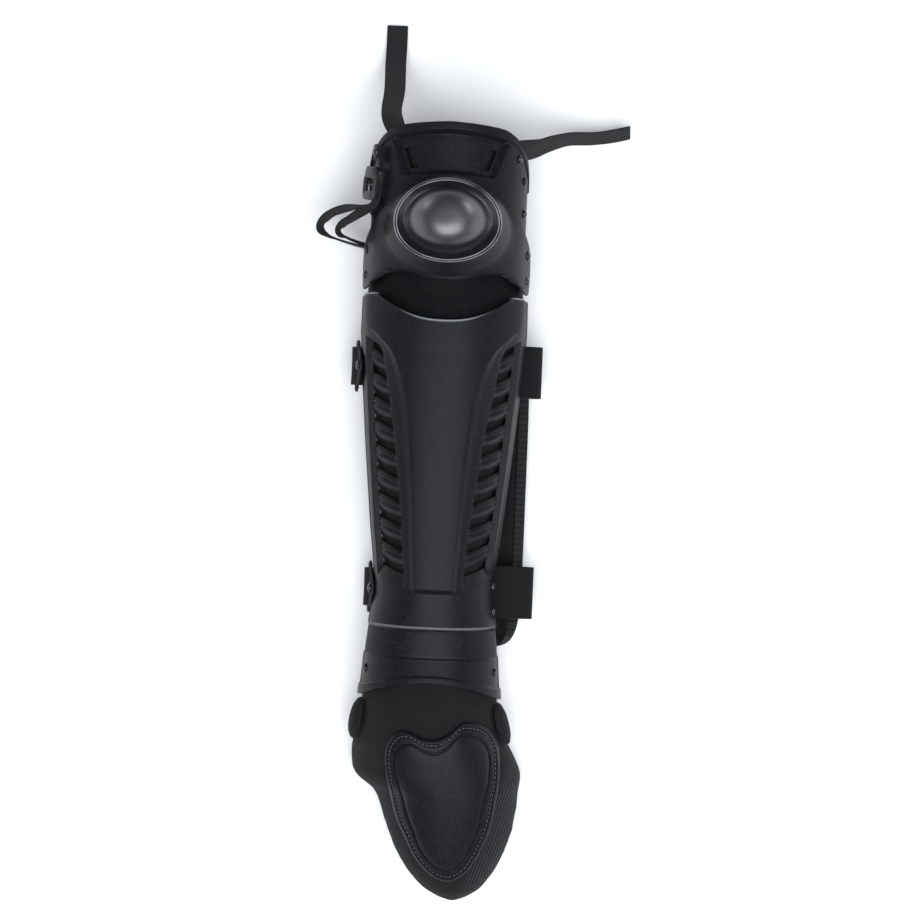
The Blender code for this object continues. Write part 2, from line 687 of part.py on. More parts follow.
def shin_point(row, side, name):
    """A point of the shin plate where one of its rows crosses one of its columns."""
    down, kind = row
    y = SHIN_TOP - down
    names = shin_turns(y)
    turn = names[name]
    half_width, depth = shin_size(y)
    out = math.sin(turn * QUARTER)
    band_end = BAND_TOP + BAND_WIDTH
    near_top = max(0.0, 1 - down / WINDOW_TOP)
    near_ankle = max(0.0, (down - band_end) / (SHIN_LENGTH - band_end))
    y -= TOP_DIP * near_top * (1 - min(out / TOP_DIP_WIDTH, 1.0) ** 2.4)
    y += ANKLE_ARCH * near_ankle * (1 - out**2)
    if kind in ("head", "gap", "slat", "crest", "sill"):
        across = (turn - names["inner"]) / (names["outer"] - names["inner"])
        y += LOUVRE_RISE * min(max(across, 0.0), 1.0)
    raised = 0.0
    if name in ("front", "near", "middle", "panel") and down < BAND_TOP and kind not in ("low", "panel_end"):
        raised = PANEL_RAISE
    if name in ("inner_foot", "centre", "outer_foot") and kind in ("gap", "slat"):
        raised = -LOUVRE_DEPTH
    if kind == "band" and name not in ("edge", "flange"):
        raised = BAND_RAISE
    if kind == "lip":
        raised = LIP_RAISE
    point = section_point(half_width, depth, EDGE_HEIGHT, side * turn, raised)
    return Vector((point.x, y, point.z))


def shin_plate(finish):
    """One shell: raised front panel, two columns of V-shaped louvre slats, a band and a lower lip."""
    rows = shin_rows()
    columns = signed_names(shin_turns(SHIN_TOP))
    points = [[shin_point(row, side, name) for side, name in columns] for row in rows]
    cut_cells = ({"inner_foot", "centre"}, {"centre", "outer_foot"})
    openings = {
        (i, j)
        for i, (_, kind) in enumerate(rows)
        if kind == "gap"
        for j, pair in enumerate(zip(columns, columns[1:]))
        if {name for _, name in pair} in cut_cells
    }
    made = place("shin_plate", grid_mesh(points, openings), finish, 25)
    return solidify(made, WALL)


def signed_names(names):
    """Column names over both halves, from -X to +X, each with its side."""
    half = list(names)
    return [(-1, name) for name in reversed(half[1:])] + [(1, name) for name in half]


def thigh_outline(turn, edge):
    return THIGH_AXIS_Y + THIGH_LENGTH * smooth(THIGH_OUTLINE, "turn", edge, abs(turn))


def thigh_turns(drop):
    """The thigh plate's column lines across one half, this far below its top edge."""
    share = min(max((drop - TOP_LIP) / (RECESS_LENGTH - TOP_LIP), 0.0), 1.0)
    crest = RECESS_HALF_WIDTH - RECESS_TAPER * share
    foot = crest - RECESS_WALL
    slot = foot - SLOT_INSET
    outs = {"front": 0.0, "middle": (slot - SLOT_WIDTH) * 0.5, "slot_in": slot - SLOT_WIDTH}
    outs |= {"slot_out": slot, "foot": foot, "crest": crest}
    turns = {name: turn_at(out, THIGH_HALF_WIDTH) for name, out in outs.items()}
    rest = (1 - turns["crest"]) / 4
    for step, name in enumerate(("shoulder", "side", "low", "edge"), 1):
        turns[name] = turns["crest"] + rest * step
    return turns


def thigh_plate(finish):
    """A curved plate with a raised top lip and a sunk panel that has a slot near each side."""
    rows = [
        (0.0, "lip"),
        (TOP_LIP - TOP_LIP_RAISE, "lip"),
        (TOP_LIP, "plain"),
        (TOP_LIP + RECESS_WALL * 0.7, "sunk"),
        (SLOT_DROP, "slot"),
        (SLOT_DROP + SLOT_LENGTH, "sunk"),
        (RECESS_LENGTH - RECESS_WALL, "sunk"),
        (RECESS_LENGTH, "plain"),
    ]
    below = (0.35, 0.7, 1.0)
    columns = signed_names(thigh_turns(0.0))
    points = []
    for drop, kind in rows + [(RECESS_LENGTH, share) for share in below]:
        row = []
        for side, name in columns:
            turn = thigh_turns(drop)[name]
            y = thigh_outline(turn, "top") - drop
            if not isinstance(kind, str):
                y = mixed(y, thigh_outline(turn, "bottom"), kind)
            raised = TOP_LIP_RAISE if kind == "lip" else 0.0
            if kind in ("sunk", "slot") and name not in ("crest", "shoulder", "side", "low", "edge"):
                raised = -RECESS
            point = section_point(THIGH_HALF_WIDTH, THIGH_DEPTH, EDGE_HEIGHT, side * turn, raised)
            row.append(Vector((point.x, y, point.z)))
        points.append(row)
    slot_row = next(i for i, (_, kind) in enumerate(rows) if kind == "slot")
    slots = {
        (slot_row, j)
        for j, pair in enumerate(zip(columns, columns[1:]))
        if {name for _, name in pair} == {"slot_in", "slot_out"}
    }
    made = place("thigh_plate", grid_mesh(points, slots), finish)
    return solidify(made, WALL)


def dome_centre():
    return THIGH_AXIS_Y + DOME_RISE


def cap_point(side, angle, out, up):
    """A point of the dome, by its angle and reach round the dome's centre."""
    across = DOME_HALF_WIDTH * out * math.cos(math.radians(angle))
    along = DOME_HALF_LENGTH * out * math.sin(math.radians(angle))
    turn = turn_at(across, CAP_HALF_WIDTH)
    return cap_surface(side * turn, dome_centre() + along) + Vector((0, 0, DOME_HEIGHT * up))


def knee_cap(finish):
    """The dome with its rings, a skirt over the thigh plate and two wings down to the knee rivets."""
    angles = [row["angle"] for row in CAP_OUTLINE]
    spokes = [(1, angle) for angle in angles] + [(-1, angle) for angle in reversed(angles[1:-1])]
    rim = []
    skirt = []
    for side, angle in spokes:
        turn = smooth(CAP_OUTLINE, "angle", "turn", angle)
        y = dome_centre() + DOME_HALF_LENGTH * smooth(CAP_OUTLINE, "angle", "up", angle)
        inner_turn = turn_at(DOME_HALF_WIDTH * math.cos(math.radians(angle)), CAP_HALF_WIDTH)
        inner_y = dome_centre() + DOME_HALF_LENGTH * math.sin(math.radians(angle))
        rim.append(cap_surface(side * turn, y))
        skirt.append(cap_surface(side * mixed(inner_turn, turn, 0.5), mixed(inner_y, y, 0.5)))
    rings = [rim, skirt]
    for ring in reversed(DOME_RINGS):
        rings.append([cap_point(side, angle, ring["out"], ring["up"]) for side, angle in spokes])
    rings.append([cap_point(side, angle, DOME_TIP, 1.0) for side, angle in spokes])
    made = place("knee_cap", grid_mesh(rings, ring=True, cap_end=True), finish, 24)
    return solidify(made, WALL, even=False)


def link_plate(finish):
    """The inner plate that the knee rivets hold: it fits inside the shin plate and turns in the cap."""
    low = SHIN_TOP - TOP_DIP - LINK_OVERLAP
    turns = both_sides([row["turn"] for row in LINK_OUTLINE])
    shares = (0.0, 0.3, 0.65, 1.0)
    points = []
    for y, share in [(None, share) for share in shares] + [(low, 0.5), (low, 1.0)]:
        row = []
        for turn in turns:
            top = KNEE_AXIS_Y + LINK_REACH * smooth(LINK_OUTLINE, "turn", "top", abs(turn))
            base = SHIN_TOP - LINK_BASE
            end = mixed(low, base - LINK_SIDE, min(abs(turn) * 2, 1.0))
            at = mixed(top, base, share) if y is None else mixed(base, end, share)
            inside = shin_surface(turn, min(at, SHIN_TOP), WALL + LINK_FIT)
            outside = thigh_surface(turn, at, LINK_SWING)
            near_knee = min(max((at - SHIN_TOP) / KNEE_AXIS_RISE, 0.0), 1.0)
            point = inside.lerp(outside, near_knee)
            reach = max(at - KNEE_AXIS_Y, 0.0)
            above = point.z - AXIS_HEIGHT
            if above > 0:
                point.z = AXIS_HEIGHT + above * math.sqrt(1 - (reach / LINK_ARC) ** 2)
            row.append(Vector((point.x, at, point.z)))
        points.append(row)
    return solidify(place("link_plate", grid_mesh(points), finish), WALL)


def lining(name, surface, rows, finish):
    """A foam sheet behind a plate. Each row gives its place, its depth and how far round it reaches."""
    points = [
        [surface(reach * step / 7, y, inset) for step in range(-7, 8)]
        for y, inset, reach in rows
    ]
    return solidify(place(name, grid_mesh(points), finish), FOAM)


def shin_lining_rows():
    inset = WALL + LOUVRE_DEPTH + LINING_FIT
    top, end = SHIN_TOP - LINING_TOP_DROP, SHIN_END + LINING_END_RISE
    return [(mixed(top, end, i / 8), inset, LINING_TURN) for i in range(9)]


def thigh_lining_rows():
    """Narrow behind the sunk panel and its slots, and full width below it."""
    panel_end = THIGH_AXIS_Y + THIGH_LENGTH - RECESS_LENGTH
    low, high = WALL + LINING_FIT, WALL + RECESS + LINING_FIT
    return [
        (THIGH_AXIS_Y + THIGH_LENGTH - TOP_LIP - FOAM, high, PANEL_LINING_TURN),
        (mixed(panel_end, THIGH_AXIS_Y + THIGH_LENGTH, 0.5), high, PANEL_LINING_TURN),
        (panel_end + RECESS, high, PANEL_LINING_TURN),
        (panel_end - RECESS * 1.5, low, mixed(PANEL_LINING_TURN, LINING_TURN, 0.5)),
        (panel_end - RECESS * 4, low, LINING_TURN),
        (THIGH_AXIS_Y + THIGH_LINING_GAP, low, LINING_TURN),
    ]


def foot_cover(finish):
    """The padded cloth cover over the instep and the toes."""
    downs = sorted({row["down"] for row in FOOT_SECTIONS} | {0.08, 0.25})
    turns = both_sides([step / 7 for step in range(8)])
    points = [[foot_surface(turn, FOOT_TOP - FOOT_LENGTH * down) for turn in turns] for down in downs]
    made = place("foot_cover", grid_mesh(points, cap_end=True), finish, 60)
    return solidify(made, PADDED_CLOTH, even=False)


def toe_plate(finish):
    """The stiff plate on the instep, lying on the cover."""
    middle_y = FOOT_TOP - TOE_PLATE_TOP - TOE_PLATE_LENGTH / 2
    middle_x = foot_size(middle_y)[0]
    rings = []
    for share in (1.0, 0.75, 0.42, 0.1):
        ring = []
        for row in TOE_OUTLINE:
            angle = math.radians(row["angle"])
            x = middle_x + TOE_PLATE_HALF_WIDTH * row["reach"] * share * math.cos(angle)
            y = middle_y + TOE_PLATE_LENGTH / 2 * row["reach"] * share * math.sin(angle)
            x += TOE_LEAN * (middle_y - y)
            ring.append(Vector((x, y, foot_height(x, y) + TOE_PLATE_LIFT)))
        rings.append(ring)
    made = place("toe_plate", grid_mesh(rings, ring=True, cap_end=True), finish)
    return solidify(made, TOE_PLATE_WALL, offset=1.0, even=False)


def ankle_cup(name, turn, finish):
    """A padded ear that stands on the side of the foot cover's upper end and follows its surface."""
    y = FOOT_TOP - CUP_DROP
    turn_radius = foot_size(y)[1] * QUARTER
    rings = []
    for share, height in ((1.0, 0.0), (0.92, 0.6), (0.6, 0.95), (0.2, 1.0)):
        ring = []
        for step in range(10):
            angle = -2 * math.pi * step / 10
            up = CUP_RADIUS * share * math.sin(angle)
            around = turn + CUP_RADIUS * share * math.cos(angle) / turn_radius
            _, half_width, depth, _ = foot_size(y + up)
            outward = section_normal((half_width, depth), around)
            seat = CUP_SEAT + CUP_HEIGHT * height
            ring.append(foot_surface(around, y + up) + outward * seat)
        rings.append(ring)
    made = place(name, grid_mesh(rings, ring=True, cap_end=True), finish, 60)
    return solidify(made, CUP_WALL, even=False)


def pad_half_width(y):
    along = min(abs(y - PAD_MIDDLE) * 2 / PAD_LENGTH, 1.0)
    return max(PAD_HALF_WIDTH * (1 - along**PAD_ROUNDNESS) ** (1 / PAD_ROUNDNESS), PAD_HALF_WIDTH * 0.45)


def pad_rim(y):
    """How far out from the pad's middle the upper corner of its turned-up side lies, and its height."""
    half_width = pad_half_width(y)
    curled = PAD_HALF_WIDTH * (1 - PAD_FLAT)
    rise = max(half_width - PAD_HALF_WIDTH * PAD_FLAT, 0) / curled
    slope = math.atan(2 * PAD_CURL * rise / curled)
    return half_width - PAD_THICKNESS * math.sin(slope), PAD_CURL * rise**2 + PAD_THICKNESS * math.cos(slope)


def calf_pad(finish):
    """The pad at the back of the calf: flat below, with its long sides turned up."""
    rows = []
    for step in range(9):
        along = math.cos(math.pi * step / 8)
        y = PAD_MIDDLE + PAD_LENGTH / 2 * along
        half_width = pad_half_width(y)
        row = []
        for place_across in (1, 0.9, 0.76, PAD_FLAT, 0.2, -0.2, -PAD_FLAT, -0.76, -0.9, -1):
            x = PAD_OFFSET + half_width * place_across
            rise = max(abs(x - PAD_OFFSET) / PAD_HALF_WIDTH - PAD_FLAT, 0) / (1 - PAD_FLAT)
            row.append(Vector((x, y, PAD_CURL * rise**2)))
        rows.append(row)
    return solidify(place("calf_pad", grid_mesh(rows), finish, 50), PAD_THICKNESS, offset=-1.0)


def rounded(outline, radius, steps=3):
    """The outline with each corner cut by a short curve."""
    made = []
    for i, corner in enumerate(outline):
        here = Vector((*corner, 0))
        before = Vector((*outline[i - 1], 0)) - here
        after = Vector((*outline[(i + 1) % len(outline)], 0)) - here
        start = here + before.normalized() * min(radius, before.length * 0.45)
        end = here + after.normalized() * min(radius, after.length * 0.45)
        for step in range(steps + 1):
            t = step / steps
            point = start * (1 - t) ** 2 + here * 2 * t * (1 - t) + end * t**2
            made.append((point.x, point.y))
    return made


def hook_plate(name, matrix, length, base, finish):
    """A triangular plate: the rivet's hole at its apex and a slot for the webbing at its base."""
    apex = RIVET_HEAD * 1.5
    outline = [(-apex, apex), (apex, apex), (base / 2, apex - length), (-base / 2, apex - length)]
    bar = HOOK_BAR
    slot_low = apex - length + bar
    slot_high = slot_low + HOOK_SLOT
    half = base / 2 - bar
    slot = [(-half, slot_low), (half, slot_low), (half * 0.93, slot_high), (-half * 0.93, slot_high)]
    hole = [
        ((RIVET_SHANK + RIVET_FIT) * math.cos(a), (RIVET_SHANK + RIVET_FIT) * math.sin(a))
        for a in [2 * math.pi * step / 10 for step in range(10)]
    ]
    holes = [rounded(slot, HOOK_BAR * 0.45), hole]
    return flat_plate(name, rounded(outline, HOOK_BAR * 1.2), holes, HOOK_THICKNESS, matrix, finish)


def side_frame(y):
    """A frame on the outer side of the shin: Z points out to -X, Y up, X along the leg."""
    point = shin_surface(-HOOK_TURN, y)
    out = section_normal(shin_size(y), -HOOK_TURN)
    up = (Vector((0, 0, 1)) - out * out.z).normalized()
    across = up.cross(out)
    turned = Matrix((across, up, out)).transposed().to_4x4()
    return Matrix.Translation(point) @ turned, point, out


def section_normal(size, turn):
    out, up = math.sin(turn * QUARTER), math.cos(turn * QUARTER)
    return Vector((out / size[0], 0, up / size[1])).normalized()


def shell_rivet(name, size, point, turn, finish, through):
    """A rivet standing on a shell, and the frame and depth of the hole it needs."""
    outward = section_normal(size, turn)
    made = rivet(name, point, outward, through, finish)
    return made, (facing(point, outward), through * 2.2)


def plain_strap(name, stops, width, thickness, finish, steps=3):
    """A strap through stops given as (x, y, z) and the direction across it there."""
    points = [(Vector(point), Vector(across).normalized()) for point, across in stops]
    return ribbon(name, eased(points, steps), width, thickness, finish)


def wrap_strap(name, y, finish):
    """A hook-and-loop strap folded from the shin plate's open edge round to the calf pad."""
    edge_x = shin_surface(1.0, y).x
    under = EDGE_HEIGHT - SEAT_GAP * 2 - FUZZY_STRAP / 2
    rim = max(pad_rim(y - WRAP_WIDTH / 2), pad_rim(y + WRAP_WIDTH / 2), key=lambda corner: corner[1])
    pad_x = PAD_OFFSET + rim[0]
    top = rim[1] + PAD_SEAT + FUZZY_STRAP / 2
    bulge = max(edge_x, PAD_OFFSET + PAD_HALF_WIDTH) + WRAP_BULGE
    middle = (under + top) / 2
    along = (0, 1, 0)
    stops = [
        ((edge_x - WRAP_LAP, y, under), along),
        ((edge_x + WALL, y, under), along),
        ((mixed(edge_x, bulge, 0.75), y, under - 0.001), along),
        ((bulge, y, middle), along),
        ((mixed(pad_x, bulge, 0.6), y, top + 0.0006), along),
        ((pad_x - WRAP_LAP, y, top), along),
    ]
    return plain_strap(name, stops, WRAP_WIDTH, FUZZY_STRAP, finish)


def calf_webbing(name, y, bar_point, finish):
    """Webbing from the calf pad's edge, round a hook plate's bar and back under the guard."""
    x, z = bar_point
    half = CALF_WEBBING_WIDTH / 2
    rim = max(pad_rim(y - half), pad_rim(y + half), key=lambda corner: corner[1])
    pad_x = PAD_OFFSET - rim[0]
    top = rim[1] + PAD_SEAT + WEBBING / 2
    clear = HOOK_BAR / 2 + WEBBING + SEAT_GAP
    along = (0, 1, 0)
    stops = [
        ((pad_x + WRAP_LAP, y, top), along),
        ((pad_x - WEBBING * 3, y, top), along),
        ((mixed(x, pad_x, 0.4), y, z - clear - 0.001), along),
        ((x + clear * 0.6, y, z - clear * 1.1), along),
        ((x - clear * 1.1, y, z - clear * 0.5), along),
        ((x - clear * 1.1, y, z + clear * 0.6), along),
        ((x + clear * 0.4, y, z + clear * 1.15), along),
        ((x + WRAP_LAP + clear, y, z + clear), along),
    ]
    return plain_strap(name, stops, CALF_WEBBING_WIDTH, WEBBING, finish)


def knee_straps(frame, finish):
    """The two strands that loop from the buckle round behind the knee and in under the thigh plate."""
    across = frame.to_3x3() @ Vector((1, 0, 0))
    under = -BUCKLE_THICKNESS / 2 - SEAT_GAP - WEBBING / 2
    lead = ((BUCKLE_LENGTH * STRAND_LAP, under), (-BUCKLE_LENGTH * 0.55, under - STRAND_DROP))
    for name, stops, buckled in KNEE_STRANDS:
        route = [(tuple(frame @ Vector((0, up, deep))), across) for up, deep in lead] if buckled else []
        for stop in stops:
            place_at = (-THIGH_HALF_WIDTH - LOOP_REACH * stop["out"], THIGH_AXIS_Y + stop["up"], stop["high"])
            route.append((place_at, (stop["lean"], 0.0, 1.0)))
        plain_strap(name, route, STRAP_WIDTH, WEBBING, finish)


def free_straps(finish):
    """The two loose ends: one out past the top edge, one out past the +X side."""
    top = THIGH_AXIS_Y + THIGH_LENGTH
    straps = (("strap_front", FRONT_STRAP, FRONT_SEAT, RECESS), ("strap_side", SIDE_STRAP, SIDE_SEAT, 0.0))
    for name, stops, seats, below in straps:
        inset = WALL + below + STRAP_SEAT + WEBBING / 2
        route = []
        for seat in seats:
            turn, y = seat["turn"], top + seat["up"]
            along = thigh_surface(turn + 0.01, y, inset) - thigh_surface(turn - 0.01, y, inset)
            across = along if name == "strap_front" else Vector((0, 1, 0))
            route.append((tuple(thigh_surface(turn, y, inset)), across))
        route += [((stop["x"], top + stop["up"], stop["high"]), stop["across"]) for stop in stops]
        plain_strap(name, route, STRAP_WIDTH, WEBBING, finish, 3)


def buckle(matrix, finish):
    """The side-release buckle's frame, with the window that its strap crosses."""
    half, long = BUCKLE_WIDTH / 2, BUCKLE_LENGTH / 2
    outline = [(-half * 0.8, long), (half * 0.8, long), (half, long * 0.5), (half, -long * 0.85)]
    outline += [(half * 0.7, -long), (-half * 0.7, -long), (-half, -long * 0.85), (-half, long * 0.5)]
    window = [
        (-half + BUCKLE_RIM, -long * 0.45),
        (half - BUCKLE_RIM, -long * 0.45),
        (half - BUCKLE_RIM, long * 0.3),
        (-half + BUCKLE_RIM, long * 0.3),
    ]
    made = flat_plate(
        "buckle", rounded(outline, 0.003), [rounded(window, 0.001)], BUCKLE_THICKNESS, matrix, finish
    )
    return made


def remove_all():
    for made in list(bpy.data.objects):
        bpy.data.objects.remove(made)


def hinge_rivets(name, axis_y, plates, finish):
    """A rivet on each side through the cap and the plate behind it."""
    turn = 1 - RIVET_TURN / QUARTER
    size = (CAP_HALF_WIDTH, CAP_DEPTH)
    through = 2 * WALL + SWING_GAP + LINK_FIT
    for side, word in ((-1, "left"), (1, "right")):
        point = cap_surface(side * turn, axis_y)
        _, drill = shell_rivet(f"{name}_rivet_{word}", size, point, side * turn, finish, through)
        for plate, holes in plates:
            holes.append(drill)


def build():
    shell = material("black_shell", BLACK, 0.42)
    dome = material("black_cap", (0.026, 0.027, 0.030), 0.30)
    inner = material("dark_link", (0.018, 0.018, 0.020), 0.5)
    mesh_cloth = material("mesh_lining", (0.020, 0.020, 0.022), 0.9)
    cloth = material("instep_cloth", (0.014, 0.014, 0.016), 0.85)
    web = material("webbing", (0.022, 0.023, 0.026), 0.8)
    fuzzy = material("loop_strap", (0.030, 0.030, 0.032), 0.95)
    clip = material("buckle_plastic", (0.045, 0.046, 0.050), 0.35)
    metal = material("dark_rivet", (0.05, 0.05, 0.055), 0.25, 0.9)

    shin = shin_plate(shell)
    thigh = thigh_plate(shell)
    cap = knee_cap(dome)
    link = link_plate(inner)
    lining("shin_lining", shin_surface, shin_lining_rows(), mesh_cloth)
    lining("thigh_lining", thigh_surface, thigh_lining_rows(), mesh_cloth)
    foot = foot_cover(cloth)
    toe_plate(shell)
    ankle_cup("ankle_cup_outer", -CUP_TURN, cloth)
    ankle_cup("ankle_cup_inner", CUP_TURN, cloth)
    calf_pad(mesh_cloth)

    thigh_holes, cap_holes, link_holes, shin_holes, foot_holes = [], [], [], [], []
    hinge_rivets("thigh", THIGH_AXIS_Y, (("cap", cap_holes), ("thigh", thigh_holes)), metal)
    hinge_rivets("knee", KNEE_AXIS_Y, (("cap", cap_holes), ("link", link_holes)), metal)
    thigh_size = (THIGH_HALF_WIDTH, THIGH_DEPTH)
    for row in THIGH_RIVETS:
        point = thigh_surface(row["turn"], THIGH_AXIS_Y + row["up"])
        _, drill = shell_rivet(row["name"], thigh_size, point, row["turn"], metal, WALL)
        thigh_holes.append(drill)
    for row in SHIN_RIVETS:
        turn, y = row["turn"], SHIN_TOP - SHIN_LENGTH * row["down"]
        point = shin_surface(turn, y) + section_normal(shin_size(y), turn) * SEAT_GAP
        _, drill = shell_rivet(row["name"], shin_size(y), point, turn, metal, row["depth"])
        shin_holes.append(drill)
        if row["depth"] > WALL:
            foot_holes.append(drill)

    thigh_lug_y = THIGH_AXIS_Y + THIGH_LENGTH - HOOK_TOP_DROP
    top_point = thigh_surface(-HOOK_TOP_TURN, thigh_lug_y)
    out = section_normal(thigh_size, -HOOK_TOP_TURN)
    up = (Vector((math.sin(HOOK_TOP_LEAN), math.cos(HOOK_TOP_LEAN), 0))).normalized()
    up = (up - out * out.dot(up)).normalized()
    turned = Matrix((up.cross(out), up, out)).transposed().to_4x4()
    lift = HOOK_TOP_LIFT + HOOK_THICKNESS / 2
    hook_frame = Matrix.Translation(top_point + out * lift) @ turned
    hook_plate("hook_plate_top", hook_frame, HOOK_TOP_LENGTH, HOOK_TOP_BASE, shell)
    rivet("hook_rivet_top", top_point + out * (lift + HOOK_THICKNESS / 2), out, WALL + lift, metal)
    thigh_holes.append((facing(top_point, out), WALL * 4))

    hook_end = RIVET_HEAD * 1.5 - HOOK_TOP_LENGTH
    above = HOOK_THICKNESS / 2 + BUCKLE_THICKNESS / 2 + SEAT_GAP
    middle = Vector((0, hook_end - BUCKLE_LENGTH / 2 + BUCKLE_LAP, above))
    buckle_frame = hook_frame @ Matrix.Translation(middle)
    buckle(buckle_frame, clip)
    knee_straps(buckle_frame, web)
    free_straps(web)

    for name, y in (("mid", UPPER_STRAP_Y), ("low", LOWER_STRAP_Y)):
        frame, point, out = side_frame(y)
        lift = SEAT_GAP + HOOK_THICKNESS / 2 + HOOK_STANDOFF
        plate_frame = Matrix.Translation(out * lift) @ frame
        hook_plate(f"hook_plate_{name}", plate_frame, HOOK_LENGTH, HOOK_BASE, shell)
        top = point + out * (lift + HOOK_THICKNESS / 2)
        rivet(f"hook_rivet_{name}", top, out, WALL + lift + HOOK_THICKNESS / 2, metal)
        shin_holes.append((facing(point, out), WALL * 4))
        bar = plate_frame @ Vector((0, RIVET_HEAD * 1.5 - HOOK_LENGTH + HOOK_BAR / 2, 0))
        strap = "calf_webbing_upper" if name == "mid" else "calf_webbing_lower"
        calf_webbing(strap, y, (bar.x, bar.z), web)
    wrap_strap("wrap_strap_upper", UPPER_STRAP_Y, fuzzy)
    wrap_strap("wrap_strap_lower", LOWER_STRAP_Y, fuzzy)

    drilled(thigh, thigh_holes)
    drilled(cap, cap_holes)
    drilled(link, link_holes)
    drilled(shin, shin_holes)
    drilled(foot, foot_holes)


remove_all()
GUARD = bpy.data.collections.new("riot_shin_guard")
CUTTERS = bpy.data.collections.new("cutters")
for collection in (GUARD, CUTTERS):
    bpy.context.scene.collection.children.link(collection)
build()
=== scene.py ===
"""Looks of a riot shin guard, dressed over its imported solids.

Metres, in the solids' own frame: +Y to the knee, -Y to the toe, +Z out of the front, and the
wearer's outer side, with the hooks and the buckle, at -X. The guard lies on its back on the floor.
"""

import math

import bmesh
import bpy
from bpy.props import FloatProperty, FloatVectorProperty, PointerProperty
from mathutils import Matrix, Vector, noise


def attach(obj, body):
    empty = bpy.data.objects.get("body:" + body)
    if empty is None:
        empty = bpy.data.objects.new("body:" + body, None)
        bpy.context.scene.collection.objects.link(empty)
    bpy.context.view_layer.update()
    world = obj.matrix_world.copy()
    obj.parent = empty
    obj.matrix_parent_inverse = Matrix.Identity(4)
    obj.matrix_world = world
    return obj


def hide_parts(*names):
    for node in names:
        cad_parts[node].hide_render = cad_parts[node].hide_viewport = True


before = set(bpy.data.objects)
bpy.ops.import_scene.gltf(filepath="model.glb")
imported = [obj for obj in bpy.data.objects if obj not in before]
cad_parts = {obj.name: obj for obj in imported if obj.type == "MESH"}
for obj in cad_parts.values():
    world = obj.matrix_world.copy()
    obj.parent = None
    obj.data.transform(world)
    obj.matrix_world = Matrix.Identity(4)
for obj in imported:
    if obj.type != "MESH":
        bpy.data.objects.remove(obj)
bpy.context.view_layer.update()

bl_info = {
    "name": "Riot shin guard",
    "version": (1, 0, 0),
    "blender": (4, 5, 0),
    "location": "View3D > Sidebar > Guard",
    "description": "Builds a riot shin guard's plates, padding, straps and their finishes",
    "category": "Add Mesh",
}

QUARTER = math.pi / 2


def listed(keys, *rows):
    """A table's rows, each with its values under the same names."""
    names = keys.split()
    return tuple(dict(zip(names, row)) for row in rows)


# Sizes that the solids give, in metres
WALL = 0.003
SWING_GAP = 0.0016
SEAT_GAP = 0.0003
FOAM = 0.006
WEBBING = 0.0016
FUZZY_STRAP = 0.0026
EDGE_HEIGHT = 0.038
SHIN_TOP = 0.189
SHIN_LENGTH = 0.375
SHIN_HALF_WIDTH = 0.0773
SHIN_DEPTH = 0.077
TOP_DIP = 0.025
TOP_DIP_WIDTH = 0.76
TOP_DIP_POWER = 2.4          # how squarely the dip falls from its shoulders
ANKLE_ARCH = 0.019
PANEL_RAISE = 0.005
PANEL_END_LENGTH = 0.0045
WINDOW_TOP = 0.0525
LOUVRE_COUNT = 10
LOUVRE_PITCH = SHIN_LENGTH * 0.0597
LOUVRE_GAP = 0.0062
LOUVRE_CREST = 0.0084
LOUVRE_DEPTH = 0.0056
LOUVRE_RISE = 0.011
LOUVRE_DROOP = 0.0022
WINDOW_WALL = 0.0025
BAND_TOP = SHIN_LENGTH * 0.8187
BAND_WIDTH = 0.029
BAND_RAISE = 0.0035
LIP_WIDTH = 0.0085
LIP_RAISE = 0.0024
LINING_FIT = 0.0022
LINING_RADIUS = 0.062        # a mean one, for the weave
LINING_TURN = 0.965
PANEL_LINING_TURN = 0.45
KNEE_AXIS_Y = SHIN_TOP + 0.018
THIGH_AXIS_Y = KNEE_AXIS_Y + 0.024
AXIS_HEIGHT = 0.058
LINK_REACH = 0.034
LINK_OVERLAP = 0.004
LINK_FIT = 0.0007
LINK_ARC = 0.045
LINK_BASE = 0.002
LINK_SIDE = 0.014
LINK_SWING = 0.0006
THIGH_HALF_WIDTH = 0.0733
THIGH_DEPTH = 0.0775
THIGH_LENGTH = 0.114
RECESS = 0.0056
RECESS_LENGTH = 0.0475
RECESS_HALF_WIDTH = 0.055
RECESS_TAPER = 0.0125
RECESS_WALL = 0.0034
TOP_LIP = 0.008
TOP_LIP_RAISE = 0.0014
SLOT_WIDTH = 0.0068
SLOT_LENGTH = 0.020
SLOT_DROP = 0.0200
SLOT_INSET = 0.0014
CAP_HALF_WIDTH = THIGH_HALF_WIDTH + SWING_GAP + WALL
CAP_DEPTH = THIGH_DEPTH + SWING_GAP + WALL
CAP_FLARE = 0.0014
SKIRT_ROWS = 9
SKIRT_START = 1.055          # just outside the base ring, in shares of its reach
DOME_Y = THIGH_AXIS_Y + 0.017
DOME_HALF_WIDTH = 0.0585
DOME_HALF_LENGTH = 0.0450
DOME_HEIGHT = 0.0265
FOOT_TOP = SHIN_TOP - SHIN_LENGTH + 0.036
FOOT_LENGTH = 0.233
FOOT_HALF_WIDTH = SHIN_HALF_WIDTH * 1.061
FOOT_HEIGHT = EDGE_HEIGHT + SHIN_DEPTH * 0.87 - 0.005
TOE_PLATE_LENGTH = 0.153
TOE_PLATE_HALF_WIDTH = 0.0545
TOE_PLATE_Y = FOOT_TOP - 0.056 - TOE_PLATE_LENGTH / 2
TOE_PLATE_WALL = 0.0026
TOE_LEAN = 0.04
TOE_SHIFT = 0.0055
TOE_PLATE_LIFT = 0.0045
TOE_PLATE_SEAT = TOE_PLATE_LIFT - TOE_PLATE_WALL * 0.55
STITCH_INSET = 0.0049
STITCH_LIFT = 0.0016
STITCH_WIDTH = 0.0010
COVER_REACH = 0.105          # half the cover's width, spread flat
TOE_CROWDING = 1.25          # how the cover's rows draw together at the toe
CUP_RADIUS = 0.0205
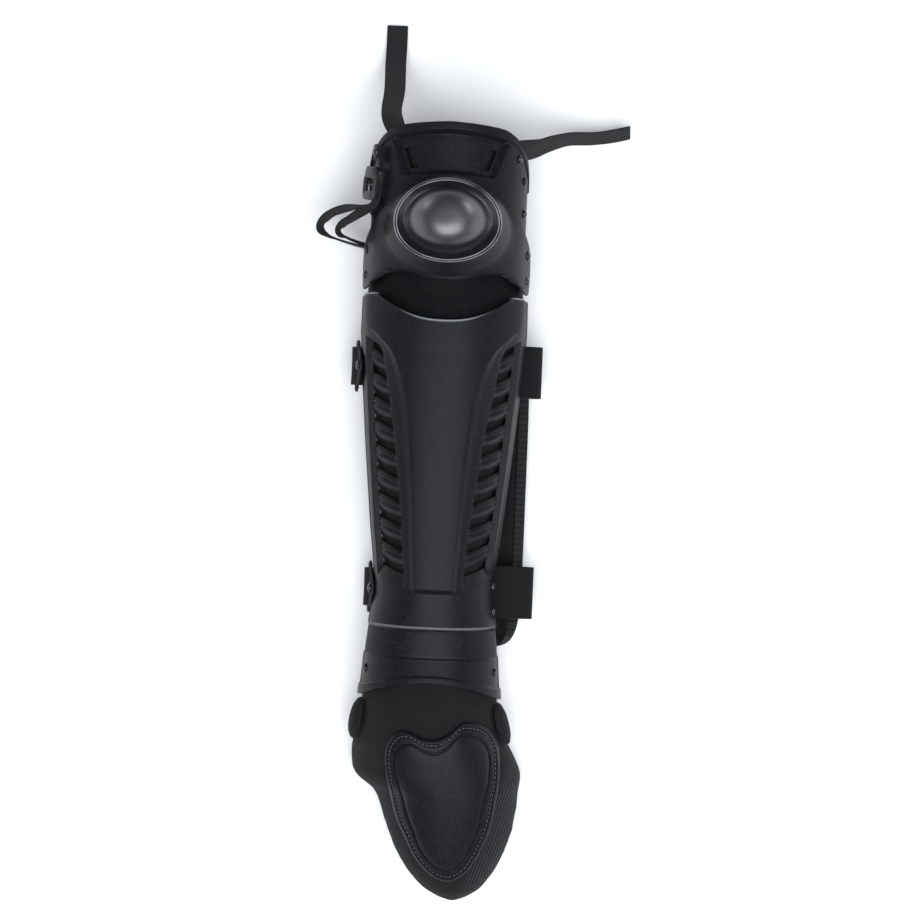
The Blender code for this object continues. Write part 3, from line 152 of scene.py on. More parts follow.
CUP_HEIGHT = 0.009
CUP_Y = FOOT_TOP - 0.0595
CUP_TURN = 0.80
CUP_SEAT = 0.0021
CUP_NARROWING = 0.60
RIB_START = 0.143
RIB_PITCH = 0.0029
PAD_HALF_WIDTH = 0.059
PAD_LENGTH = 0.290
PAD_THICKNESS = 0.012
PAD_OFFSET = 0.025
PAD_MIDDLE = 0.004
PAD_CURL = 0.014
PAD_FLAT = 0.60
PAD_ROUNDNESS = 7
UPPER_STRAP_Y = PAD_MIDDLE + PAD_LENGTH * 0.410
LOWER_STRAP_Y = PAD_MIDDLE - PAD_LENGTH * 0.310
RIVET_HEAD = 0.0048
RIVET_RISE = 0.0024

# The shin's sections: share of its length, shares of its half width and depth
SHIN_SECTIONS = listed(
    "down width depth",
    (0.00, 1.000, 1.00), (0.13, 1.000, 0.99), (0.355, 0.915, 0.95), (0.48, 0.857, 0.92), (0.605, 0.795, 0.88),
    (0.73, 0.730, 0.83), (0.805, 0.765, 0.82), (0.88, 0.805, 0.83), (1.00, 0.850, 0.87),
)
# The raised panel's edge and the windows' inner edge, as shares of the shin's half width
PANEL_EDGE = listed(
    "down out",
    (0.00, 0.900), (0.08, 0.860), (0.101, 0.737), (0.137, 0.590), (0.198, 0.450), (0.259, 0.370),
    (0.307, 0.340), (0.500, 0.259), (0.645, 0.224), (0.771, 0.194), (1.00, 0.194),
)
WINDOW_INNER = listed(
    "down out",
    (0.00, 0.930), (0.08, 0.890), (0.14, 0.723), (0.208, 0.653), (0.281, 0.593), (0.355, 0.530),
    (0.4285, 0.488), (0.526, 0.427), (0.624, 0.383), (0.720, 0.348), (1.00, 0.348),
)
WINDOW_OUTER = 0.935         # share of the section's own half width

# Thigh plate: its upper and lower outlines round the section, as shares of its length and turn
THIGH_OUTLINE = listed(
    "turn top bottom",
    (0.00, 1.000, 0.050), (0.45, 0.975, 0.000), (0.56, 0.945, -0.040), (0.70, 0.880, -0.075),
    (0.84, 0.780, -0.086), (0.92, 0.690, -0.060), (1.00, 0.600, 0.110),
)

# Knee cap's outline: angle round the dome's centre, turn round the leg, and shares of the dome's length
CAP_OUTLINE = listed(
    "angle turn up",
    (90, 0.00, 1.010), (62, 0.29, 0.800), (40, 0.49, 0.520), (20, 0.70, 0.140), (2, 0.84, -0.120),
    (-10, 0.905, -0.330), (-20, 0.925, -0.700), (-30, 0.890, -1.080), (-38, 0.830, -1.210),
    (-46, 0.720, -1.130), (-54, 0.600, -0.950), (-62, 0.500, -0.850), (-72, 0.360, -0.880),
    (-82, 0.170, -0.990), (-90, 0.00, -1.010),
)

# Foot cover: share of its length, then its middle and half width as shares of the half width,
# and its front and edge heights as shares of its height
FOOT_SECTIONS = listed(
    "down middle width front edge",
    (0.00, 0.00, 0.700, 0.955, 0.33), (0.165, 0.00, 0.790, 0.950, 0.20), (0.336, 0.03, 0.900, 0.900, 0.10),
    (0.459, 0.11, 0.985, 0.830, 0.06), (0.502, 0.15, 0.960, 0.800, 0.05), (0.554, 0.23, 0.855, 0.765, 0.04),
    (0.621, 0.27, 0.800, 0.720, 0.03), (0.753, 0.30, 0.700, 0.620, 0.03), (0.867, 0.32, 0.545, 0.510, 0.03),
    (0.948, 0.34, 0.360, 0.390, 0.03), (0.985, 0.35, 0.200, 0.270, 0.03), (1.00, 0.355, 0.090, 0.180, 0.03),
)

# Toe plate's outline round its middle: angle, and reach as shares of its half width and length
TOE_OUTLINE = listed(
    "angle reach",
    (90, 0.815), (78, 0.910), (70, 1.065), (62, 1.144), (48, 1.240), (36, 1.225), (23, 1.116), (4, 0.975),
    (-15, 0.925), (-32, 0.910), (-48, 0.930), (-61, 0.973), (-73, 1.003), (-83, 1.005), (-95, 0.967),
    (-106, 0.913), (-120, 0.850), (-140, 0.775), (-162, 0.800), (175, 0.865), (159, 0.985), (146, 1.120),
    (137, 1.155), (125.5, 1.095), (112.5, 0.890), (101.4, 0.815),
)


# Link plate: its upper end round the section, as a share of its reach above the knee rivets
LINK_OUTLINE = listed(
    "turn top",
    (0.00, 1.00), (0.15, 1.00), (0.30, 0.94), (0.43, 0.62), (0.56, 0.24), (0.66, 0.12), (0.75, 0.20),
    (0.84, 0.28), (0.92, 0.18), (1.00, -0.36),
)

# The strands behind the knee: shares of the loop's reach, metres above the thigh rivets and the floor
KNEE_STRANDS = (
    (
        "knee_strap_outer",
        (
            {"out": 0.42, "up": 0.0390, "high": 0.058, "lean": -1.0},
            {"out": 0.84, "up": 0.0320, "high": 0.049, "lean": -0.45},
            {"out": 1.00, "up": 0.0220, "high": 0.042, "lean": -0.3},
            {"out": 0.85, "up": 0.0140, "high": 0.036, "lean": -0.25},
            {"out": 0.45, "up": 0.0085, "high": 0.029, "lean": -0.15},
            {"out": 0.05, "up": 0.0050, "high": 0.025, "lean": 0.0},
            {"out": -0.25, "up": 0.0040, "high": 0.024, "lean": 0.0},
        ),
        True,
    ),
    (
        "knee_strap_inner",
        (
            {"out": 0.07, "up": 0.0395, "high": 0.052, "lean": -0.7},
            {"out": 0.27, "up": 0.0340, "high": 0.042, "lean": -0.5},
            {"out": 0.42, "up": 0.0300, "high": 0.038, "lean": -0.4},
            {"out": 0.58, "up": 0.0250, "high": 0.038, "lean": -0.3},
            {"out": 0.64, "up": 0.0185, "high": 0.036, "lean": -0.2},
            {"out": 0.50, "up": 0.0135, "high": 0.032, "lean": -0.1},
            {"out": 0.15, "up": 0.0085, "high": 0.027, "lean": 0.0},
            {"out": -0.22, "up": 0.0064, "high": 0.025, "lean": 0.0},
        ),
        False,
    ),
)

# Where the loose ends are sewn behind the thigh plate: turn round it, metres past its top edge
FRONT_SEAT = listed(
    "turn up",
    (-0.565, -0.034), (-0.565, -0.012),
)
SIDE_SEAT = listed(
    "turn up",
    (0.58, -0.023), (0.69, -0.019),
)

# Their free parts: x, metres past the thigh plate's top edge and above the floor, direction across
FRONT_STRAP = listed(
    "x up high across",
    (-0.0570, 0.012, 0.0640, (1.0, 0.0, 0.45)), (-0.0560, 0.040, 0.0380, (1.0, 0.0, 0.05)),
    (-0.0570, 0.068, 0.0130, (1.0, 0.0, 0.0)), (-0.0570, 0.088, 0.0030, (1.0, 0.0, 0.0)),
    (-0.0570, 0.108, 0.0012, (1.0, 0.0, 0.0)),
)
SIDE_STRAP = listed(
    "x up high across",
    (0.0790, -0.0120, 0.0480, (0.0, 0.75, 0.65)), (0.0930, -0.0050, 0.0370, (0.0, 0.6, 0.8)),
    (0.1120, 0.0020, 0.0260, (0.0, 0.45, 0.9)), (0.1350, 0.0050, 0.0160, (0.0, 0.45, 0.9)),
    (0.1550, 0.0090, 0.0118, (0.0, 0.5, 0.87)), (0.1700, 0.0130, 0.0108, (0.0, 0.5, 0.87)),
)


class Signal:
    """A value that runs between nodes, with the arithmetic of numbers."""

    def __init__(self, finish, socket):
        self.finish = finish
        self.socket = socket

    def maths(self, operation, *others, clamp=False):
        made = self.finish.node("Math", {"operation": operation, "use_clamp": clamp}, *others)
        return made

    def __add__(self, other):
        return self.maths("ADD", self, other)

    def __sub__(self, other):
        return self.maths("SUBTRACT", self, other)

    def __mul__(self, other):
        return self.maths("MULTIPLY", self, other)

    def __truediv__(self, other):
        return self.maths("DIVIDE", self, other)

    def __pow__(self, other):
        return self.maths("POWER", self, other)

    def __rsub__(self, other):
        return self.maths("SUBTRACT", other, self)

    def __neg__(self):
        return self.maths("MULTIPLY", self, -1.0)

    __radd__ = __add__
    __rmul__ = __mul__

    def least(self, other):
        return self.maths("MINIMUM", self, other)

    def most(self, other):
        return self.maths("MAXIMUM", self, other)

    def sine(self):
        return self.maths("SINE", self)

    def size(self):
        return self.maths("ABSOLUTE", self)

    def fraction(self):
        return self.maths("FRACT", self)

    def above(self, other):
        return self.maths("GREATER_THAN", self, other)

    def eased(self, low, high):
        """0 below low, 1 above high and smooth between them."""
        return self.finish.node(
            "MapRange", {"interpolation_type": "SMOOTHSTEP"}, Value=self, **{"From Min": low, "From Max": high}
        )


class Finish:
    """A material, and the nodes that it is made of."""

    def __init__(self, name, roughness=0.5, **constants):
        self.material = bpy.data.materials.new(name)
        self.material.use_nodes = True
        self.tree = self.material.node_tree
        self.shader = self.tree.nodes["Principled BSDF"]
        self.shader.inputs["Roughness"].default_value = roughness
        for socket, value in constants.items():
            self.shader.inputs[socket.replace("_", " ")].default_value = value

    def node(self, kind, settings, *values, **named):
        """Adds a node, its settings first and then its sockets' values or links; gives its first output."""
        made = self.tree.nodes.new("ShaderNode" + kind)
        for name, value in settings.items():
            if name == "stops":
                ramp = made.color_ramp.elements
                while len(ramp) < len(value):
                    ramp.new(0.5)
                for stop, (at, colour) in zip(ramp, value):
                    stop.position = at
                    stop.color = colour
            elif name != "output":
                setattr(made, name, value)
        sockets = [socket for socket in made.inputs if socket.enabled]
        for socket, value in list(zip(sockets, values)) + [(made.inputs[n], v) for n, v in named.items()]:
            if isinstance(value, Signal):
                self.tree.links.new(value.socket, socket)
            else:
                socket.default_value = value
        wanted = settings.get("output")
        if wanted is not None:
            return Signal(self, made.outputs[wanted])
        return Signal(self, next(socket for socket in made.outputs if socket.enabled))

    def place(self):
        return self.node("TexCoord", {"output": "Object"})

    def strand(self, name="strand"):
        """The piece's own map in metres: across it and along it."""
        return self.apart(self.node("UVMap", {"uv_map": name}))

    def apart(self, place):
        """The place's first two coordinates, each a value of its own."""
        return [self.node("SeparateXYZ", {"output": axis}, place) for axis in "XY"]

    def noise(self, place, scale, detail=3.0, roughness=0.55):
        return self.node("TexNoise", {}, Vector=place, Scale=scale, Detail=detail, Roughness=roughness)

    def cells(self, place, scale, feature="F1"):
        return self.node("TexVoronoi", {"feature": feature}, Vector=place, Scale=scale)

    def blend(self, share, first, second):
        made = self.tree.nodes.new("ShaderNodeMix")
        made.data_type = "RGBA"
        for index, value in ((0, share), (6, first), (7, second)):
            if isinstance(value, Signal):
                self.tree.links.new(value.socket, made.inputs[index])
            else:
                made.inputs[index].default_value = value
        return Signal(self, made.outputs[2])

    def bump(self, height, distance, strength=1.0, under=None):
        named = {"Height": height, "Distance": distance, "Strength": strength}
        if under is not None:
            named["Normal"] = under
        return self.node("Bump", {}, **named)

    def wire(self, **sockets):
        for name, value in sockets.items():
            self.tree.links.new(value.socket, self.shader.inputs[name.replace("_", " ")])
        return self.material


def tone(colour, share=1.0):
    return (*(channel * share for channel in colour[:3]), 1.0)


def moulded(name, colour, roughness, grain, sheen=0.11, painted_highlight=None, polished=None):
    """Moulded plastic with a fine spark-eroded grain, faint scuffs and a little dust.

    The highlight function gives the share of painted highlight, colour lightened to a pale grey where edges
    and beads would catch the light, and polished(finish) the weight of a smooth skin over the grain.
    """
    finish = Finish(name, roughness, Coat_Roughness=0.40, Coat_IOR=1.9, Specular_IOR_Level=sheen)
    place = finish.place()
    fine = finish.noise(place, 1500.0, 2.0, 0.6)
    pebble = finish.noise(place, 430.0, 3.0, 0.6)
    patch = finish.noise(place, 26.0, 4.0, 0.6)
    wide = finish.noise(place, 7.0, 2.0, 0.5)
    scratch = finish.noise(
        finish.node("Mapping", {}, Vector=place, Rotation=(0.3, 0.2, 0.6), Scale=(240.0, 30.0, 90.0)), 1.0, 3.0, 0.7
    )
    scuff = scratch.eased(0.66, 0.80) * patch.eased(0.5, 0.68)
    speck = finish.cells(place, 330.0).eased(0.10, 0.04) * finish.noise(place, 90.0).eased(0.60, 0.68)
    base = finish.blend(wide.eased(0.3, 0.7), tone(colour, 0.82), tone(colour, 1.12))
    base = finish.blend(pebble.eased(0.45, 0.72) * 0.6, base, tone(colour, 2.6))
    base = finish.blend(scuff * 0.14 + speck * 0.30, base, tone(colour, 4.0))
    rough = roughness + (patch - 0.5) * 0.10 + (pebble - 0.5) * 0.22 + scuff * 0.05 + speck * 0.12
    # Painted highlight: the colour is lightened to a pale grey along the shin plate's top edge and band and on the
    # cap's ring beads.
    if painted_highlight:
        bright = painted_highlight(finish)
        base = finish.blend(bright, base, tone(HIGHLIGHT_GREY))
        rough = rough - bright * 0.12
    if polished:
        finish.wire(Coat_Weight=polished(finish))
    height = fine * 0.30 + pebble * 0.70
    normal = finish.bump(height, grain, 0.55)
    return finish.wire(Base_Color=base, Roughness=rough, Normal=normal)


def cap_reach(finish, place, shift):
    """How far out from the dome's middle, in shares of the base ring's reach."""
    across, along = finish.apart(place)
    out = across * (1 / DOME_HALF_WIDTH)
    up = (along - (DOME_Y + shift)) * (1 / DOME_HALF_LENGTH)
    return (out * out + up * up) ** 0.5


def cap_dome(finish):
    """The dome's smooth skin, which the wings and the skirt haven't."""
    return cap_reach(finish, finish.place(), RING_SHIFT).eased(0.72, 0.60) * 0.98 + 0.02


def cap_ring_highlights(finish):
    """Painted highlight on the knee cap's two ring beads, by their distance from the dome's middle."""
    place = finish.place()
    reach = cap_reach(finish, place, RING_SHIFT)
    bands = [(reach - ring).size().eased(0.0125, 0.0055) for ring in PAINTED_RING_REACH]
    return (bands[0] + bands[1]) * finish.noise(place, 22.0).eased(0.30, 0.62)


def painted_rim_highlight(finish):
    """Painted highlight: lighter lines along the dipped top edge of the shin plate and along its band."""
    place = finish.place()
    across, along = finish.apart(place)
    out = across.size() * (1 / (SHIN_HALF_WIDTH * TOP_DIP_WIDTH))
    dip = (1 - out.least(1.0) ** TOP_DIP_POWER) * TOP_DIP
    below = (SHIN_TOP - along - dip).size()
    band = (along - (SHIN_TOP - BAND_TOP)).size().eased(0.0015, 0.0006) * across.size().eased(0.064, 0.050)
    return below.eased(0.0019, 0.0009) * 0.75 + band * 0.55


def rubbed_metal(name, colour, roughness):
    """Blackened metal, turned round its own head and worn a little brighter."""
    finish = Finish(name, roughness, Metallic=0.85)
    place = finish.place()
    brushed = finish.noise(finish.node("Mapping", {}, Vector=place, Scale=(900.0, 5200.0, 900.0)), 1.0, 2.0)
    patch = finish.noise(place, 420.0, 3.0)
    base = finish.blend(patch.eased(0.42, 0.68), tone(colour, 0.6), tone(colour, 1.9))
    rough = roughness + (patch - 0.5) * 0.22 + (brushed - 0.5) * 0.12
    return finish.wire(Base_Color=base, Roughness=rough, Normal=finish.bump(brushed, 0.00006, 0.5))


def woven(name, colour, rib, pitch, roughness=0.82):
    """Webbing: herringbone ribs along the strand and picks across it, read from the strand's own map."""
    finish = Finish(name, roughness, Sheen_Weight=0.03, Sheen_Roughness=0.5, Specular_IOR_Level=0.3)
    across, along = finish.strand()
    turn = 2 * math.pi
    lean = ((across / (rib * 4)).fraction() - 0.5).size() * 2 * rib * 4
    warp = (across * (turn / rib)).sine().size()
    weft = ((along + lean * 0.5) * (turn / pitch)).sine() * 0.5 + 0.5
    stray = finish.noise(finish.place(), 900.0, 3.0, 0.7)
    wear = finish.noise(finish.place(), 60.0, 3.0)
    height = warp * 0.55 + weft * 0.45 + (stray - 0.5) * 0.35
    base = finish.blend(height.eased(0.15, 0.95), tone(colour, 0.45), tone(colour, 1.55))
    base = finish.blend(wear.eased(0.5, 0.75) * 0.3, base, tone(colour, 2.0))
    rough = roughness + (stray - 0.5) * 0.16
    return finish.wire(Base_Color=base, Roughness=rough, Normal=finish.bump(height, 0.00022, 0.9))


def looped(name, colour):
    """The fuzzy face of a hook-and-loop strap."""
    finish = Finish(name, 0.95, Sheen_Weight=0.06, Sheen_Roughness=0.45, Specular_IOR_Level=0.2)
    place = finish.place()
    curl = finish.noise(place, 1300.0, 4.0, 0.75)
    tuft = finish.cells(place, 620.0)
    lint = finish.noise(place, 2600.0, 2.0).eased(0.66, 0.75)
    base = finish.blend(curl.eased(0.35, 0.7), tone(colour, 0.4), tone(colour, 1.5))
    base = finish.blend(lint * 0.35, base, tone(colour, 5.0))
    height = curl * 0.7 + (1 - tuft) * 0.3
    rough = 0.9 + (curl - 0.5) * 0.12
    return finish.wire(Base_Color=base, Roughness=rough, Normal=finish.bump(height, 0.0006, 0.9))


def cloth_face(name, colour, thread=0.0021):
    """Plain woven cover cloth: crossing threads, a slub here and there and soft fading."""
    finish = Finish(name, 0.86, Sheen_Weight=0.02, Sheen_Roughness=0.5, Specular_IOR_Level=0.15)
    across, along = finish.strand()
    turn = 2 * math.pi
    first = (across * (turn / thread)).sine()
    second = (along * (turn / thread)).sine()
    weave = first * second * 0.5 + 0.5
    place = finish.place()
    slub = finish.noise(place, 480.0, 3.0, 0.65)
    fade = finish.noise(place, 18.0, 4.0, 0.6)
    x, y = finish.apart(place)
    skew = x * 0.955 - y * 0.296
    flare = skew.eased(RIB_START, RIB_START + 0.006) * (0 - y).eased(0.240, 0.256)
    ribs = (skew * (turn / RIB_PITCH)).sine() * 0.5 + 0.5
    height = (weave * 0.55 + slub * 0.45) * (1 - flare) + (ribs * 1.4 + slub * 0.3) * flare
    base = finish.blend(height.eased(0.2, 0.9), tone(colour, 0.55), tone(colour, 1.7))
    base = finish.blend(flare * ribs.eased(0.55, 0.9) * 0.8, base, tone(colour, 4.5))
    base = finish.blend(fade.eased(0.45, 0.75) * 0.35, base, tone(colour, 2.1))
    lint = finish.cells(place, 260.0).eased(0.07, 0.03) * finish.noise(place, 70.0).eased(0.58, 0.66)
    base = finish.blend(lint * 0.4, base, tone(colour, 9.0))
    rough = 0.84 + (slub - 0.5) * 0.14
    return finish.wire(Base_Color=base, Roughness=rough, Normal=finish.bump(height, 0.0006, 0.95))


def air_mesh(name, colour, pitch=0.0034):
    """Spacer mesh over foam: staggered round holes between raised threads."""
    finish = Finish(name, 0.88, Sheen_Weight=0.02, Sheen_Roughness=0.5, Specular_IOR_Level=0.25)
    across, along = finish.strand()
    first = (across / pitch).fraction() - 0.5
    second = (along / (pitch * 1.6)).fraction() - 0.5
    third = (across / pitch + 0.5).fraction() - 0.5
    fourth = (along / (pitch * 1.6) + 0.5).fraction() - 0.5
    one = ((first * first) + (second * second) * 2.2) ** 0.5
    two = ((third * third) + (fourth * fourth) * 2.2) ** 0.5
    hole = 1 - one.least(two).eased(0.20, 0.30)
    place = finish.place()
    fibre = finish.noise(place, 1600.0, 3.0, 0.7)
    fade = finish.noise(place, 30.0, 3.0)
    base = finish.blend(fibre.eased(0.3, 0.75), tone(colour, 0.6), tone(colour, 1.7))
    base = finish.blend(fade.eased(0.5, 0.8) * 0.3, base, tone(colour, 2.0))
    base = finish.blend(hole, base, tone(colour, 0.12))
    height = (1 - hole) * 0.8 + fibre * 0.2
    rough = 0.84 + (fibre - 0.5) * 0.12 + hole * 0.08
    return finish.wire(Base_Color=base, Roughness=rough, Normal=finish.bump(height, 0.0007, 1.0))


def twisted(name, colour):
    """Sewing thread, in plies that lean along each stitch."""
    finish = Finish(name, 0.7, Sheen_Weight=0.2)
    place = finish.place()
    along = finish.node("Mapping", {}, Vector=place, Rotation=(0, 0, 0.7), Scale=(3000.0, 600.0, 900.0))
    ply = finish.noise(along, 1.0)
    base = finish.blend(ply.eased(0.35, 0.7), tone(colour, 0.6), tone(colour, 1.6))
    rough = 0.66 + (ply - 0.5) * 0.2
    return finish.wire(Base_Color=base, Roughness=rough, Normal=finish.bump(ply, 0.0001, 0.7))


def floor_face(name, colour):
    """A plain pale studio floor, barely mottled."""
    finish = Finish(name, 0.75)
    place = finish.place()
    mottle = finish.noise(place, 3.0, 3.0)
    base = finish.blend(mottle.eased(0.3, 0.7), tone(colour, 0.985), tone(colour, 1.0))
    rough = 0.72 + (mottle - 0.5) * 0.06
    return finish.wire(Base_Color=base, Roughness=rough)


def smooth(table, place, value, at):
    """The value column at a place along the table, by a curve through its rows."""
    rows = sorted(table, key=lambda row: row[place])
    at = min(max(at, rows[0][place]), rows[-1][place])
    last = max(i for i, row in enumerate(rows[:-1]) if row[place] <= at)
    a, b = rows[last], rows[last + 1]
    before = rows[max(last - 1, 0)]
    after = rows[min(last + 2, len(rows) - 1)]
    span = b[place] - a[place]
    share = (at - a[place]) / span
    slope_a = (b[value] - before[value]) / (b[place] - before[place]) * span
    slope_b = (after[value] - a[value]) / (after[place] - a[place]) * span
    square, cube = share * share, share**3
    return (
        (2 * cube - 3 * square + 1) * a[value]
        + (cube - 2 * square + share) * slope_a
        + (3 * square - 2 * cube) * b[value]
        + (cube - square) * slope_b
    )


def mixed(a, b, share):
    return a + (b - a) * share


def eased(low, high, value):
    """0 below low, 1 above high and smooth between them."""
    share = min(max((value - low) / (high - low), 0.0), 1.0)
    return share * share * (3 - 2 * share)


def section_point(half_width, depth, edge, turn, raised=0.0):
    angle = turn * QUARTER
    out, up = math.sin(angle), math.cos(angle)
    normal = Vector((out / half_width, 0, up / depth)).normalized()
    return Vector((half_width * out, 0, edge + depth * up)) + normal * raised


def moved_to(point, y, aside=0.0):
    return Vector((point.x + aside, y, point.z))


def section_normal(size, turn):
    out, up = math.sin(turn * QUARTER), math.cos(turn * QUARTER)
    return Vector((out / size[0], 0, up / size[1])).normalized()


def shin_size(y, inset=0.0):
    down = (SHIN_TOP - y) / SHIN_LENGTH
    half_width = SHIN_HALF_WIDTH * smooth(SHIN_SECTIONS, "down", "width", down) - inset
    depth = SHIN_DEPTH * smooth(SHIN_SECTIONS, "down", "depth", down) - inset
    return half_width, depth


def shin_surface(turn, y, inset=0.0):
    half_width, depth = shin_size(y, inset)
    return moved_to(section_point(half_width, depth, EDGE_HEIGHT, turn), y)


def thigh_surface(turn, y, inset=0.0):
    return moved_to(section_point(THIGH_HALF_WIDTH - inset, THIGH_DEPTH - inset, EDGE_HEIGHT, turn), y)


def cap_surface(turn, y, raised=0.0):
    return moved_to(section_point(CAP_HALF_WIDTH, CAP_DEPTH, EDGE_HEIGHT, turn, raised), y)


def foot_size(y):
    down = (FOOT_TOP - y) / FOOT_LENGTH
    names = ("middle", "width", "front", "edge")
    middle, width, front, edge = (smooth(FOOT_SECTIONS, "down", name, down) for name in names)
    low = FOOT_HEIGHT * edge
    return FOOT_HALF_WIDTH * middle, FOOT_HALF_WIDTH * width, FOOT_HEIGHT * front - low, low


def foot_surface(turn, y, raised=0.0):
    middle, half_width, depth, edge = foot_size(y)
    return moved_to(section_point(half_width, depth, edge, turn, raised), y, middle)


def foot_height(x, y):
    middle, half_width, depth, edge = foot_size(y)
    out = min(abs(x - middle) / half_width, 0.999)
    return edge + depth * math.sqrt(1 - out * out)


def turn_at(out, half_width):
    return math.asin(min(out / half_width, 1.0)) / QUARTER


def pad_half_width(y):
    along = min(abs(y - PAD_MIDDLE) * 2 / PAD_LENGTH, 1.0)
    return max(PAD_HALF_WIDTH * (1 - along**PAD_ROUNDNESS) ** (1 / PAD_ROUNDNESS), PAD_HALF_WIDTH * 0.45)


def deselect():
    if bpy.context.mode != "OBJECT":
        bpy.ops.object.mode_set(mode="OBJECT")
    bpy.ops.object.select_all(action="DESELECT")


def only(made):
    """Makes this object the selected and active one."""
    deselect()
    made.select_set(True)
    bpy.context.view_layer.objects.active = made
    return made


def edit(made, *steps):
    """Runs edit-mode operators on all of the object's faces."""
    only(made)
    bpy.ops.object.mode_set(mode="EDIT")
    bpy.ops.mesh.select_all(action="SELECT")
    for step in steps:
        step()
    bpy.ops.object.mode_set(mode="OBJECT")
    return made


def modified(made, kind, **settings):
    """Adds a modifier and applies it."""
    only(made)
    added = made.modifiers.new(kind.lower(), kind)
    for name, value in settings.items():
        setattr(added, name, value)
    bpy.ops.object.modifier_apply(modifier=added.name)
    return made


def walled(made, thickness, even=True):
    """Gives a surface its wall, inwards. An uneven wall can't spike at a tight bend."""
    return modified(made, "SOLIDIFY", thickness=thickness, offset=-1.0, use_even_offset=even)


def eased_edges(made, width, segments=2, angle=24.0):
    return modified(
        made, "BEVEL", width=width, segments=segments, limit_method="ANGLE",
        angle_limit=math.radians(angle), use_clamp_overlap=True,
    )


def shaded(made, angle=32.0):
    only(made)
    bpy.ops.object.shade_smooth_by_angle(angle=math.radians(angle))
    return made


def turned_out(made, outward):
    """Flips the faces of an open surface when they look away from outward."""
    total = Vector()
    for face in made.data.polygons:
        total += face.normal * face.area
    if total.dot(Vector(outward)) < 0:
        edit(made, bpy.ops.mesh.flip_normals)
    return made


def laid(name, columns, rows, at, cloth=None, open_cells=(), outward=(0, 0, 1), closed=False):
    """A grid primitive whose points are laid on a surface: at(column, row) gives each one's place.

    cloth(column, row) gives the strand map in metres. open_cells are cut out as (column, row).
    """
    deselect()
    bpy.ops.mesh.primitive_grid_add(x_subdivisions=columns, y_subdivisions=rows, size=2, calc_uvs=True)
    made = bpy.context.object
    made.name = made.data.name = name
    mesh = made.data
    spots = {}
    for vert in mesh.vertices:
        spots[vert.index] = (round((vert.co.x + 1) / 2 * columns), round((vert.co.y + 1) / 2 * rows))
    flat = mesh.uv_layers.active
    flat.name = "strand"
    if cloth:
        for loop in mesh.loops:
            flat.data[loop.index].uv = cloth(*spots[loop.vertex_index])
    gone = set()
    if open_cells:
        for face in mesh.polygons:
            cell = (min(spots[v][0] for v in face.vertices), min(spots[v][1] for v in face.vertices))
            if cell in open_cells:
                gone.add(face.index)
    for vert in mesh.vertices:
        vert.co = at(*spots[vert.index])
    if gone:
        only(made)
        bpy.ops.object.mode_set(mode="EDIT")
        bpy.ops.mesh.select_mode(type="FACE")
        bpy.ops.mesh.select_all(action="DESELECT")
        bpy.ops.object.mode_set(mode="OBJECT")
        for face in mesh.polygons:
            face.select = face.index in gone
        bpy.ops.object.mode_set(mode="EDIT")
        bpy.ops.mesh.delete(type="FACE")
        bpy.ops.mesh.select_mode(type="VERT")
        bpy.ops.object.mode_set(mode="OBJECT")
    if closed:
        edit(made, lambda: bpy.ops.mesh.remove_doubles(threshold=0.000005))
    return turned_out(made, outward)


def finished(made, body, slot, finish, *nodes, fill=None, look=None):
    """Gives a piece its slot's finish or another look and its body, and hides the CAD nodes that it stands for."""
    made.data.materials.clear()
    made.data.materials.append(finish(look or slot))
    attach(made, body)
    if nodes:
        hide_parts(*nodes)
    return made


def joined(name, pieces):
    deselect()
    for piece in pieces:
        piece.select_set(True)
    bpy.context.view_layer.objects.active = pieces[0]
    if len(pieces) > 1:
        bpy.ops.object.join()
    pieces[0].name = pieces[0].data.name = name
    return pieces[0]


def settle(made):
    """Puts a piece's place into its mesh, so that its object stands at the origin."""
    only(made)
    bpy.ops.object.transform_apply(location=True, rotation=True, scale=True)
    return made


def facing(point, outward):
    turned = Vector(outward).to_track_quat("Z", "Y").to_matrix().to_4x4()
    return Matrix.Translation(point) @ turned


def finer(names, steps):
    """Fine lines between named lines: (first, second, share), with steps for each gap."""
    made = []
    for a, b, count in zip(names, names[1:], steps):
        made += [(a, b, step / count) for step in range(count)]
    made.append((names[-2], names[-1], 1.0))
    return made


def mirrored(half):
    """Lines of one half made into lines from -X to +X, each with its side."""
    return [(-1, *line) for line in reversed(half[1:])] + [(1, *line) for line in half]


SHIN_COLUMNS = (
    ("front", 4), ("near", 4), ("middle", 4), ("panel", 3), ("foot", 4), ("inner", 2), ("inner_foot", 4),
    ("centre", 4), ("outer_foot", 2), ("outer", 2), ("flange", 3), ("bead_foot", 1), ("bead", 2), ("edge", 0),
)
CUT_NAMES = ("inner_foot", "centre", "outer_foot")


def shin_turns(down):
    """The turns of the shin plate's column lines this far down from its top."""
    y = SHIN_TOP - down
    share = down / SHIN_LENGTH
    half_width, _ = shin_size(y)
    panel = turn_at(SHIN_HALF_WIDTH * smooth(PANEL_EDGE, "down", "out", share), half_width)
    inner = turn_at(SHIN_HALF_WIDTH * smooth(WINDOW_INNER, "down", "out", share), half_width)
    outer = turn_at(WINDOW_OUTER * half_width, half_width)
    inner = min(inner, outer - 0.05)
    panel = min(panel, inner - 0.02)
    wall = WINDOW_WALL / (half_width * QUARTER)
    return {
        "front": 0.0, "near": panel * 0.35, "middle": panel * 0.7, "panel": panel,
        "foot": mixed(panel, inner, 0.42), "inner": inner, "inner_foot": inner + wall,
        "centre": (inner + outer) / 2, "outer_foot": outer - wall, "outer": outer,
        "flange": mixed(outer, 1, 0.25), "bead_foot": mixed(outer, 1, 0.72), "bead": mixed(outer, 1, 0.80),
        "edge": 1.0,
    }


